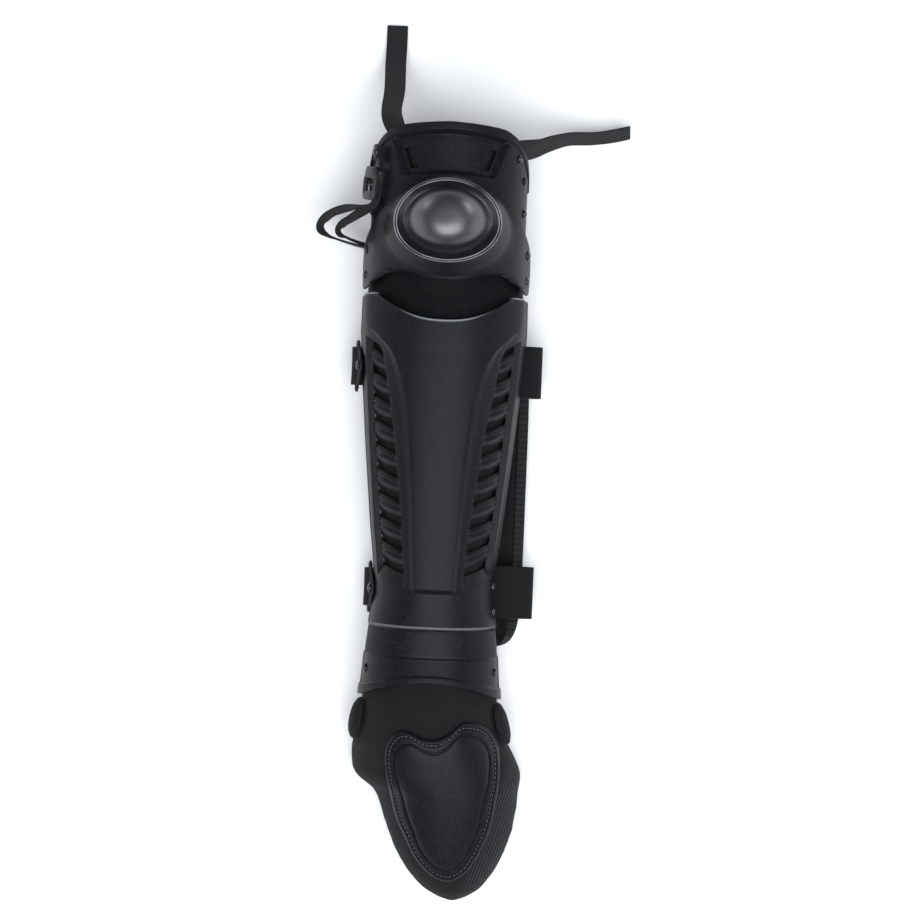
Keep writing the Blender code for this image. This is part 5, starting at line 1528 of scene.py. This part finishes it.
def cut_plate(name, outline, holes, thickness, matrix, edge):
    """A plate cut from a flat outline with holes, its edges rounded, centred on the matrix's XY plane."""
    deselect()
    curve = bpy.data.curves.new(name, "CURVE")
    curve.dimensions = "2D"
    curve.fill_mode = "BOTH"
    curve.extrude = thickness / 2 - edge
    curve.bevel_depth = edge
    curve.bevel_resolution = 2
    curve.offset = -edge
    for loop in (outline, *holes):
        spline = curve.splines.new("POLY")
        spline.points.add(len(loop) - 1)
        spline.use_cyclic_u = True
        for point, (x, y) in zip(spline.points, loop):
            point.co = (x, y, 0, 1)
    made = bpy.data.objects.new(name, curve)
    bpy.context.scene.collection.objects.link(made)
    only(made)
    bpy.ops.object.convert(target="MESH")
    made = bpy.context.object
    edit(made, lambda: bpy.ops.mesh.remove_doubles(threshold=0.00001),
         lambda: bpy.ops.mesh.normals_make_consistent(inside=False))
    made.matrix_world = matrix
    return shaded(settle(made), 40)


def circle(radius, steps=20):
    turns = [2 * math.pi * step / steps for step in range(steps)]
    return [(radius * math.cos(turn), radius * math.sin(turn)) for turn in turns]


def bar(name, start, end, radius, matrix):
    """A round bar between two points of a frame, with soft ends."""
    deselect()
    start, end = Vector(start), Vector(end)
    bpy.ops.mesh.primitive_cylinder_add(vertices=16, radius=radius, depth=(end - start).length)
    made = bpy.context.object
    made.name = name
    turned = (end - start).to_track_quat("Z", "Y").to_matrix().to_4x4()
    made.matrix_world = matrix @ Matrix.Translation((start + end) / 2) @ turned
    settle(made)
    modified(made, "BEVEL", width=radius * 0.45, segments=3, limit_method="ANGLE", angle_limit=math.radians(40))
    return shaded(made, 40)


def hook_plate(name, matrix, length, base, edge):
    """A triangular hook: a boss round its rivet, two ribs and a thick round bar past the slot."""
    foot = HOOK_APEX - length
    outline = [(-HOOK_APEX, HOOK_APEX), (HOOK_APEX, HOOK_APEX), (base / 2, foot), (-base / 2, foot)]
    slot_low = foot + HOOK_BAR
    slot_high = slot_low + HOOK_SLOT
    half = base / 2 - HOOK_BAR
    slot = [(-half, slot_low), (half, slot_low), (half * 0.93, slot_high), (-half * 0.93, slot_high)]
    plate = cut_plate(
        name, rounded(outline, HOOK_BAR * 1.2), [rounded(slot, HOOK_BAR * 0.45)], HOOK_THICKNESS, matrix, edge
    )
    top = HOOK_THICKNESS / 2
    raised = matrix @ Matrix.Translation((0, 0, top + 0.0003))
    boss = cut_plate(name + "_boss", circle(RIVET_HEAD * 1.28, 28), [], 0.0009, raised, 0.0003)
    ends = [(side * half * 0.98, foot + HOOK_BAR * 0.5, top * 0.35) for side in (-1, 1)]
    pieces = [plate, boss, bar(name + "_bar", *ends, HOOK_BAR * 0.47, matrix)]
    for side in (-1, 1):
        start = (side * HOOK_APEX * 0.86, HOOK_APEX * 0.2, top)
        end = (side * (base / 2 - HOOK_BAR * 0.9), slot_low, top)
        pieces.append(bar(name + "_rib", start, end, 0.0009, matrix))
    return joined(name, pieces)


def thigh_hook_frame():
    y = THIGH_AXIS_Y + THIGH_LENGTH - 0.0255
    point = thigh_surface(-HOOK_TOP_TURN, y)
    out = section_normal((THIGH_HALF_WIDTH, THIGH_DEPTH), -HOOK_TOP_TURN)
    up = Vector((math.sin(HOOK_TOP_LEAN), math.cos(HOOK_TOP_LEAN), 0)).normalized()
    up = (up - out * out.dot(up)).normalized()
    turned = Matrix((up.cross(out), up, out)).transposed().to_4x4()
    lift = HOOK_TOP_LIFT + HOOK_THICKNESS / 2
    return Matrix.Translation(point + out * lift) @ turned, point + out * (lift + HOOK_THICKNESS / 2), out


def side_hook_frame(y):
    point = shin_surface(-HOOK_TURN, y)
    out = section_normal(shin_size(y), -HOOK_TURN)
    up = (Vector((0, 0, 1)) - out * out.z).normalized()
    turned = Matrix((up.cross(out), up, out)).transposed().to_4x4()
    lift = SEAT_GAP + HOOK_THICKNESS / 2 + HOOK_STANDOFF
    return Matrix.Translation(point + out * lift) @ turned, point + out * (lift + HOOK_THICKNESS / 2), out


def buckle_frame():
    frame_at, _, _ = thigh_hook_frame()
    above = HOOK_THICKNESS / 2 + BUCKLE_THICKNESS / 2 + SEAT_GAP
    return frame_at @ Matrix.Translation((0, HOOK_APEX - HOOK_TOP_LENGTH - BUCKLE_LENGTH / 2 + BUCKLE_LAP, above))


def buckle(name, matrix, edge):
    """A side-release buckle: a frame with its window, two sprung arms, a spine and a bar for the webbing."""
    half, long = BUCKLE_WIDTH / 2, BUCKLE_LENGTH / 2
    outline = [(-half * 0.8, long), (half * 0.8, long), (half, long * 0.5), (half, -long * 0.85)]
    outline += [(half * 0.7, -long), (-half * 0.7, -long), (-half, -long * 0.85), (-half, long * 0.5)]
    inner = half - BUCKLE_RIM
    window = [(-inner, -long * 0.45), (inner, -long * 0.45), (inner, long * 0.3), (-inner, long * 0.3)]
    pieces = [cut_plate(name, rounded(outline, 0.003), [rounded(window, 0.001)], BUCKLE_THICKNESS, matrix, edge)]
    top = BUCKLE_THICKNESS / 2
    raised = matrix @ Matrix.Translation((0, 0, top))
    head = [(half * x, long * y) for x, y in ((-0.62, 0.92), (0.62, 0.92), (0.74, 0.42), (-0.74, 0.42))]
    pieces.append(cut_plate(name + "_head", rounded(head, 0.0015), [], 0.0012, raised, 0.0004))
    foot = [(half * x, long * y) for x, y in ((-0.62, -0.58), (0.62, -0.58), (0.5, -0.9), (-0.5, -0.9))]
    pieces.append(cut_plate(name + "_foot", rounded(foot, 0.0012), [], 0.0010, raised, 0.0003))
    for side in (-1, 1):
        ends = [(side * half * 0.86, long * y, top * 0.8) for y in (0.34, -0.62)]
        pieces.append(bar(name + "_arm", *ends, 0.0013, matrix))
    ends = [(side * inner * 1.02, -long * 0.08, 0.0002) for side in (-1, 1)]
    pieces.append(bar(name + "_crossbar", *ends, 0.0011, matrix))
    return joined(name, pieces)


def pad_rim(y):
    """How far out from the pad's middle the upper corner of its turned-up side lies, and its height."""
    half_width = pad_half_width(y)
    curled = PAD_HALF_WIDTH * (1 - PAD_FLAT)
    rise = max(half_width - PAD_HALF_WIDTH * PAD_FLAT, 0) / curled
    slope = math.atan(2 * PAD_CURL * rise / curled)
    return half_width - PAD_THICKNESS * math.sin(slope), PAD_CURL * rise**2 + PAD_THICKNESS * math.cos(slope)


WRAP_WIDTH = 0.049
CALF_WEBBING_WIDTH = 0.036
WRAP_LAP = 0.010
WRAP_BULGE = 0.009
PAD_SEAT = 0.0011
STRAP_WIDTH = 0.020
STRAP_SEAT = 0.0027
LOOP_REACH = 0.046
STRAND_LAP = 0.18
STRAND_DROP = 0.0012
ALONG = (0, 1, 0)


def wrap_route(y):
    """The fold of a hook-and-loop strap, from the shin plate's open edge round to the calf pad."""
    edge_x = shin_surface(1.0, y).x
    under = EDGE_HEIGHT - SEAT_GAP * 2 - FUZZY_STRAP / 2
    rim = max(pad_rim(y - WRAP_WIDTH / 2), pad_rim(y + WRAP_WIDTH / 2), key=lambda corner: corner[1])
    pad_x = PAD_OFFSET + rim[0]
    top = rim[1] + PAD_SEAT + FUZZY_STRAP / 2
    bulge = max(edge_x, PAD_OFFSET + PAD_HALF_WIDTH) + WRAP_BULGE
    return [
        ((edge_x - WRAP_LAP, y, under), ALONG), ((edge_x + WALL, y, under), ALONG),
        ((mixed(edge_x, bulge, 0.75), y, under - 0.001), ALONG), ((bulge, y, (under + top) / 2), ALONG),
        ((mixed(pad_x, bulge, 0.6), y, top + 0.0006), ALONG), ((pad_x - WRAP_LAP, y, top), ALONG),
    ]


def calf_route(y):
    """Webbing from the calf pad's edge, round a hook's bar and back under the guard."""
    matrix, _, _ = side_hook_frame(y)
    hold = matrix @ Vector((0, HOOK_APEX - HOOK_LENGTH + HOOK_BAR / 2, 0))
    x, z = hold.x, hold.z
    half = CALF_WEBBING_WIDTH / 2
    rim = max(pad_rim(y - half), pad_rim(y + half), key=lambda corner: corner[1])
    pad_x = PAD_OFFSET - rim[0]
    top = rim[1] + PAD_SEAT + WEBBING / 2
    clear = HOOK_BAR / 2 + WEBBING + SEAT_GAP
    return [
        ((pad_x + WRAP_LAP, y, top), ALONG), ((pad_x - WEBBING * 3, y, top), ALONG),
        ((mixed(x, pad_x, 0.4), y, z - clear - 0.001), ALONG), ((x + clear * 0.6, y, z - clear * 1.1), ALONG),
        ((x - clear * 1.1, y, z - clear * 0.5), ALONG), ((x - clear * 1.1, y, z + clear * 0.6), ALONG),
        ((x + clear * 0.4, y, z + clear * 1.15), ALONG), ((x + WRAP_LAP + clear, y, z + clear), ALONG),
    ]


def knee_routes():
    """The two strands that loop from the buckle round behind the knee and in under the thigh plate."""
    matrix = buckle_frame()
    across = matrix.to_3x3() @ Vector((1, 0, 0))
    under = -BUCKLE_THICKNESS / 2 - SEAT_GAP - WEBBING / 2
    lead = ((BUCKLE_LENGTH * STRAND_LAP, under), (-BUCKLE_LENGTH * 0.55, under - STRAND_DROP))
    for name, stops, buckled in KNEE_STRANDS:
        route = [(tuple(matrix @ Vector((0, up, deep))), across) for up, deep in lead] if buckled else []
        for stop in stops:
            spot = (-THIGH_HALF_WIDTH - LOOP_REACH * stop["out"], THIGH_AXIS_Y + stop["up"], stop["high"])
            route.append((spot, (stop["lean"], 0.0, 1.0)))
        yield name, route


def free_routes():
    """The two loose ends: one out past the top edge, one out past the +X side."""
    top = THIGH_AXIS_Y + THIGH_LENGTH
    straps = (("strap_front", FRONT_STRAP, FRONT_SEAT, RECESS), ("strap_side", SIDE_STRAP, SIDE_SEAT, 0.0))
    for name, stops, seats, below in straps:
        inset = WALL + below + STRAP_SEAT + WEBBING / 2
        route = []
        for seat in seats:
            turn, y = seat["turn"], top + seat["up"]
            along = thigh_surface(turn + 0.01, y, inset) - thigh_surface(turn - 0.01, y, inset)
            across = along if name == "strap_front" else Vector(ALONG)
            route.append((tuple(thigh_surface(turn, y, inset)), tuple(across)))
        route += [((stop["x"], top + stop["up"], stop["high"]), stop["across"]) for stop in stops]
        yield name, route


class GuardColours(bpy.types.PropertyGroup):
    """Colours of the guard's finishes."""

    shell: FloatVectorProperty(
        name="Shell", description="Matte moulded plates", subtype="COLOR", default=(0.0060, 0.0068, 0.0080),
    )
    cap: FloatVectorProperty(
        name="Knee cap", description="Satin knee cap", subtype="COLOR", default=(0.0055, 0.0062, 0.0077),
    )
    link: FloatVectorProperty(
        name="Link", description="Dull plate under the cap", subtype="COLOR", default=(0.0040, 0.0042, 0.0048),
    )
    mesh: FloatVectorProperty(
        name="Air mesh", description="Linings and calf pad", subtype="COLOR", default=(0.0075, 0.0075, 0.0082),
    )
    cover: FloatVectorProperty(
        name="Foot cover", description="Woven cover over the foot", subtype="COLOR", default=(0.0060, 0.0061, 0.0068),
    )
    webbing: FloatVectorProperty(
        name="Webbing", description="Woven straps", subtype="COLOR", default=(0.0085, 0.0088, 0.0098),
    )
    loop: FloatVectorProperty(
        name="Loop strap", description="Fuzzy straps", subtype="COLOR", default=(0.0065, 0.0065, 0.0070),
    )
    buckle: FloatVectorProperty(
        name="Buckle", description="Buckle plastic", subtype="COLOR", default=(0.0130, 0.0134, 0.0148),
    )
    rivet: FloatVectorProperty(
        name="Rivets", description="Blackened rivets", subtype="COLOR", default=(0.05, 0.05, 0.055),
    )
    thread: FloatVectorProperty(
        name="Thread", description="Sewing thread", subtype="COLOR", default=(0.060, 0.062, 0.068),
    )
    floor: FloatVectorProperty(
        name="Floor", description="Studio floor", subtype="COLOR", default=(0.88, 0.885, 0.89),
    )


class GuardPlates(bpy.types.PropertyGroup):
    """Surface of the hard pieces."""

    roughness: FloatProperty(
        name="Shell roughness", description="Gloss of the matte plates", min=0, max=1, default=0.42,
    )
    cap_roughness: FloatProperty(
        name="Cap roughness", description="Gloss of the knee cap", min=0, max=1, default=0.36,
    )
    grain: FloatProperty(
        name="Grain", description="Depth of the moulded grain", unit="LENGTH", default=0.00012,
    )
    edge: FloatProperty(
        name="Edge", description="Width of the rounded edges", unit="LENGTH", default=0.00055,
    )


class GuardCloth(bpy.types.PropertyGroup):
    """Sizes of the soft pieces."""

    wrinkle: FloatProperty(
        name="Wrinkle", description="Height of the folds in the cover", unit="LENGTH", default=0.0013,
    )
    swell: FloatProperty(
        name="Swell", description="How far the calf pad crowns", unit="LENGTH", default=0.0026,
    )
    rib: FloatProperty(
        name="Rib", description="Width of one rib of the webbing", unit="LENGTH", default=0.0011,
    )
    pick: FloatProperty(
        name="Pick", description="Pitch of the webbing's cross threads", unit="LENGTH", default=0.0013,
    )
    stitch: FloatProperty(
        name="Stitch", description="Pitch of the sewn stitches", unit="LENGTH", default=0.0042,
    )


class GuardStudio(bpy.types.PropertyGroup):
    """Camera and light."""

    height: FloatProperty(
        name="Camera height", description="Above the guard's sides", unit="LENGTH", default=2.0,
    )
    view_width: FloatProperty(
        name="View width", description="Seen across the picture", unit="LENGTH", default=0.8648,
    )
    lean: FloatProperty(
        name="Lean", description="Roll of the camera", subtype="ANGLE", default=math.radians(2.36),
    )
    middle_x: FloatProperty(name="Middle X", description="Under the camera", unit="LENGTH", default=0.020)
    middle_y: FloatProperty(name="Middle Y", description="Under the camera", unit="LENGTH", default=0.0376)
    light: FloatProperty(name="Light", description="Share of the lights' strength", min=0, default=1.0)


def finish_of(context, name):
    """The named finish, made the first time that it is asked for."""
    slot, name = name, f"{name}_finish"  # the record's own materials have the plain names
    known = bpy.data.materials.get(name)
    if known:
        return known
    colours, plates, soft = context.scene.guard_colours, context.scene.guard_plates, context.scene.guard_cloth
    makers = {
        "black_shell": lambda: moulded(name, colours.shell, plates.roughness, plates.grain, painted_highlight=painted_rim_highlight),
        "black_cap": lambda: moulded(
            name, colours.cap, plates.cap_roughness, plates.grain * 0.8, 0.14, cap_ring_highlights, cap_dome
        ),
        "dark_link": lambda: moulded(name, colours.link, 0.55, plates.grain, sheen=0.03),
        "buckle_plastic": lambda: moulded(name, colours.buckle, 0.35, plates.grain * 0.6, sheen=0.3),
        "mesh_lining": lambda: air_mesh(name, colours.mesh),
        "instep_cloth": lambda: cloth_face(name, colours.cover),
        "webbing": lambda: woven(name, colours.webbing, soft.rib, soft.pick),
        "loop_strap": lambda: looped(name, colours.loop),
        "dark_rivet": lambda: rubbed_metal(name, colours.rivet, 0.28),
        "sewing_thread": lambda: twisted(name, colours.thread),
        "studio_floor": lambda: floor_face(name, colours.floor),
    }
    return makers[slot]()


class PieceMaker:
    """What every operator that makes pieces of the guard shares."""

    bl_options = {"REGISTER", "UNDO"}

    def execute(self, context):
        plates, soft = context.scene.guard_plates, context.scene.guard_cloth
        self.make(lambda name: finish_of(context, name), plates, soft)
        deselect()
        return {"FINISHED"}


class GUARD_OT_shin_plate(PieceMaker, bpy.types.Operator):
    """Makes the louvred shin plate"""

    bl_idname = "guard.shin_plate"
    bl_label = "Shin plate"

    def make(self, finish, plates, soft):
        made = shin_plate(plates.edge)
        finished(made, "shin_guard", "black_shell", finish, "shin_plate")


class GUARD_OT_thigh_plate(PieceMaker, bpy.types.Operator):
    """Makes the thigh plate with its sunk panel"""

    bl_idname = "guard.thigh_plate"
    bl_label = "Thigh plate"

    def make(self, finish, plates, soft):
        made = thigh_plate(plates.edge)
        finished(made, "thigh_body", "black_shell", finish, "thigh_plate")


class GUARD_OT_knee_cap(PieceMaker, bpy.types.Operator):
    """Makes the domed knee cap"""

    bl_idname = "guard.knee_cap"
    bl_label = "Knee cap"

    def make(self, finish, plates, soft):
        made = knee_cap()
        finished(made, "knee_cap_body", "black_cap", finish, "knee_cap")


class GUARD_OT_link_plate(PieceMaker, bpy.types.Operator):
    """Makes the dull plate that joins knee cap and shin"""

    bl_idname = "guard.link_plate"
    bl_label = "Link plate"

    def make(self, finish, plates, soft):
        made = link_plate(plates.edge)
        finished(made, "shin_guard", "dark_link", finish, "link_plate")


class GUARD_OT_toe_plate(PieceMaker, bpy.types.Operator):
    """Makes the stiff toe plate and the stitches that hold it"""

    bl_idname = "guard.toe_plate"
    bl_label = "Toe plate"

    def make(self, finish, plates, soft):
        made = toe_plate(plates.edge)
        finished(made, "shin_guard", "black_shell", finish, "toe_plate")
        points = []
        for step in range(241):
            x, y = toe_reach(90 - 1.5 * step, 1.0, STITCH_INSET)
            points.append(Vector((x, y, foot_height(x, y) + TOE_PLATE_SEAT + STITCH_LIFT)))

        def up_of(spot, near=0.001):
            slope = foot_height(spot.x + near, spot.y) - foot_height(spot.x - near, spot.y)
            rise = foot_height(spot.x, spot.y + near) - foot_height(spot.x, spot.y - near)
            return Vector((-slope / (2 * near), -rise / (2 * near), 1)).normalized()

        sewn = stitched("toe_stitches", along_route(points, soft.stitch, up_of), soft.stitch * 0.70, STITCH_WIDTH)
        finished(sewn, "shin_guard", "black_shell", finish, look="sewing_thread")


class GUARD_OT_linings(PieceMaker, bpy.types.Operator):
    """Makes the mesh-faced foam behind both plates"""

    bl_idname = "guard.linings"
    bl_label = "Linings"

    def make(self, finish, plates, soft):
        rows = (
            ("shin_foam", shin_surface, shin_lining_stops(), "shin_guard", "shin_lining"),
            ("thigh_foam", thigh_surface, thigh_lining_stops(), "thigh_body", "thigh_lining"),
        )
        for name, surface, stops, body, node in rows:
            made = lining(name, surface, stops, 0.0006)
            finished(made, body, "mesh_lining", finish, node, fill=0.5)


class GUARD_OT_calf_pad(PieceMaker, bpy.types.Operator):
    """Makes the quilted calf pad"""

    bl_idname = "guard.calf_pad"
    bl_label = "Calf pad"

    def make(self, finish, plates, soft):
        made = calf_pad("calf_cushion", soft.swell)
        finished(made, "shin_guard", "mesh_lining", finish, "calf_pad", fill=0.6)


class GUARD_OT_foot_cover(PieceMaker, bpy.types.Operator):
    """Makes the padded cover over the foot with its ankle ears"""

    bl_idname = "guard.foot_cover"
    bl_label = "Foot cover"

    def make(self, finish, plates, soft):
        cover = foot_cover("instep_cover", 0.005, soft.wrinkle)
        finished(cover, "shin_guard", "instep_cloth", finish, "foot_cover", fill=0.4)
        for side, word in ((-1, "outer"), (1, "inner")):
            cup = ankle_cup(f"ankle_ear_{word}", side * CUP_TURN, 0.004)
            finished(cup, "shin_guard", "instep_cloth", finish, f"ankle_cup_{word}", fill=0.6)


class GUARD_OT_hooks(PieceMaker, bpy.types.Operator):
    """Makes the three webbing hooks with their rivets"""

    bl_idname = "guard.hooks"
    bl_label = "Hooks"

    def make(self, finish, plates, soft):
        rows = (
            ("top", thigh_hook_frame(), HOOK_TOP_LENGTH, HOOK_TOP_BASE, "thigh_body"),
            ("mid", side_hook_frame(UPPER_STRAP_Y), HOOK_LENGTH, HOOK_BASE, "shin_guard"),
            ("low", side_hook_frame(LOWER_STRAP_Y), HOOK_LENGTH, HOOK_BASE, "shin_guard"),
        )
        for word, (matrix, top, out), length, base, body in rows:
            made = hook_plate(f"hook_{word}", matrix, length, base, plates.edge)
            finished(made, body, "black_shell", finish, f"hook_plate_{word}")
            head = rivet_head(f"hook_stud_{word}", RIVET_HEAD, RIVET_RISE)
            head.matrix_world = facing(top + out * 0.0008, out)
            finished(settle(head), body, "dark_rivet", finish, f"hook_rivet_{word}")


class GUARD_OT_buckle(PieceMaker, bpy.types.Operator):
    """Makes the side-release buckle"""

    bl_idname = "guard.buckle"
    bl_label = "Buckle"

    def make(self, finish, plates, soft):
        made = buckle("release_buckle", buckle_frame(), plates.edge)
        finished(made, "thigh_body", "buckle_plastic", finish, "buckle")


class GUARD_OT_straps(PieceMaker, bpy.types.Operator):
    """Makes the webbing: the knee loop, the free ends and the calf straps"""

    bl_idname = "guard.straps"
    bl_label = "Webbing"

    def make(self, finish, plates, soft):
        routes = [(name, route, STRAP_WIDTH, "thigh_body") for name, route in (*knee_routes(), *free_routes())]
        for word, y in (("upper", UPPER_STRAP_Y), ("lower", LOWER_STRAP_Y)):
            routes.append((f"calf_webbing_{word}", calf_route(y), CALF_WEBBING_WIDTH, "shin_guard"))
        for node, route, width, body in routes:
            made = strap(node + "_weave", route, width, WEBBING, bow=0.0003)
            finished(made, body, "webbing", finish, node)


class GUARD_OT_loop_straps(PieceMaker, bpy.types.Operator):
    """Makes the two hook-and-loop straps at the calf"""

    bl_idname = "guard.loop_straps"
    bl_label = "Hook-and-loop straps"

    def make(self, finish, plates, soft):
        for word, y in (("upper", UPPER_STRAP_Y), ("lower", LOWER_STRAP_Y)):
            made = strap(
                f"loop_strap_{word}", wrap_route(y), WRAP_WIDTH, FUZZY_STRAP, steps=14, columns=16, edge=0.0009
            )
            finished(made, "shin_guard", "loop_strap", finish, f"wrap_strap_{word}")


class GUARD_OT_rivets(PieceMaker, bpy.types.Operator):
    """Makes the rivets of the hinges and the plates"""

    bl_idname = "guard.rivets"
    bl_label = "Rivets"

    def make(self, finish, plates, soft):
        for node, body, spot, outward, size in rivet_spots():
            head = rivet_head(node + "_head", RIVET_HEAD * size, RIVET_RISE)
            head.matrix_world = facing(spot + outward * 0.0002, outward)
            finished(settle(head), body, "dark_rivet", finish, node)


class GUARD_OT_stage(bpy.types.Operator):
    """Lays the floor and sets the lights and the camera"""

    bl_idname = "guard.stage"
    bl_label = "Studio"

    def execute(self, context):
        studio = context.scene.guard_studio
        deselect()
        bpy.ops.mesh.primitive_plane_add(size=14, location=(0, 0, -0.0005))
        floor = settle(context.object)
        floor.name = floor.data.name = "studio_floor"
        floor.data.materials.append(finish_of(context, "studio_floor"))
        rows = (
            ("soft_key", (0.15, -0.66, 2.15), (3.0, 2.1), 96.0),
            ("soft_head_left", (-1.9, 1.7, 0.55), (0.9, 0.5), 8.0),
            ("soft_head_right", (1.8, 1.6, 0.75), (0.9, 0.5), 12.0),
            ("soft_left", (-2.3, -0.2, 0.40), (1.6, 0.4), 3.5),
            ("soft_right", (2.3, -0.1, 0.40), (1.6, 0.4), 4.0),
        )
        for name, spot, size, power in rows:
            light = bpy.data.lights.new(name, "AREA")
            light.shape = "RECTANGLE"
            light.size, light.size_y = size
            light.energy = power * studio.light
            light.color = (0.94, 0.97, 1.0)
            lamp = bpy.data.objects.new(name, light)
            lamp.location = spot
            lamp.rotation_euler = (Vector((0, 0, 0.05)) - Vector(spot)).to_track_quat("-Z", "Y").to_euler()
            context.scene.collection.objects.link(lamp)
        world = bpy.data.worlds.new("studio_air")
        world.use_nodes = True
        air = world.node_tree.nodes["Background"]
        air.inputs["Color"].default_value = (0.95, 0.97, 1.0, 1)
        air.inputs["Strength"].default_value = 0.20
        context.scene.world = world
        context.scene.view_settings.view_transform = "Standard"
        seen = bpy.data.cameras.new("photo_camera")
        seen.sensor_width = 36.0
        seen.lens = 36.0 * studio.height / studio.view_width
        seen.dof.use_dof = False
        camera = bpy.data.objects.new("photo_camera", seen)
        camera.location = (studio.middle_x, studio.middle_y, 0.05 + studio.height)
        camera.rotation_euler = (0, 0, studio.lean)
        context.scene.collection.objects.link(camera)
        context.scene.camera = camera
        return {"FINISHED"}


class GUARD_PT_pieces(bpy.types.Panel):
    """The guard's pieces and settings"""

    bl_label = "Shin guard"
    bl_idname = "GUARD_PT_pieces"
    bl_space_type = "VIEW_3D"
    bl_region_type = "UI"
    bl_category = "Guard"

    def draw(self, context):
        for group in ("guard_colours", "guard_plates", "guard_cloth", "guard_studio"):
            settings = getattr(context.scene, group)
            box = self.layout.box()
            for name in settings.__annotations__:
                box.prop(settings, name)
        for piece in PIECES:
            self.layout.operator(piece.bl_idname)


PIECES = (
    GUARD_OT_shin_plate, GUARD_OT_thigh_plate, GUARD_OT_knee_cap, GUARD_OT_link_plate, GUARD_OT_toe_plate,
    GUARD_OT_linings, GUARD_OT_calf_pad, GUARD_OT_foot_cover, GUARD_OT_hooks, GUARD_OT_buckle,
    GUARD_OT_straps, GUARD_OT_loop_straps, GUARD_OT_rivets, GUARD_OT_stage,
)
GROUPS = {
    "guard_colours": GuardColours, "guard_plates": GuardPlates,
    "guard_cloth": GuardCloth, "guard_studio": GuardStudio,
}


def register():
    for made in (*GROUPS.values(), *PIECES, GUARD_PT_pieces):
        bpy.utils.register_class(made)
    for name, group in GROUPS.items():
        setattr(bpy.types.Scene, name, PointerProperty(type=group))


def unregister():
    for name in GROUPS:
        delattr(bpy.types.Scene, name)
    for made in reversed((*GROUPS.values(), *PIECES, GUARD_PT_pieces)):
        bpy.utils.unregister_class(made)


def main():
    register()
    for piece in PIECES:
        group, name = piece.bl_idname.split(".")
        getattr(getattr(bpy.ops, group), name)()


if __name__ == "__main__":
    main()
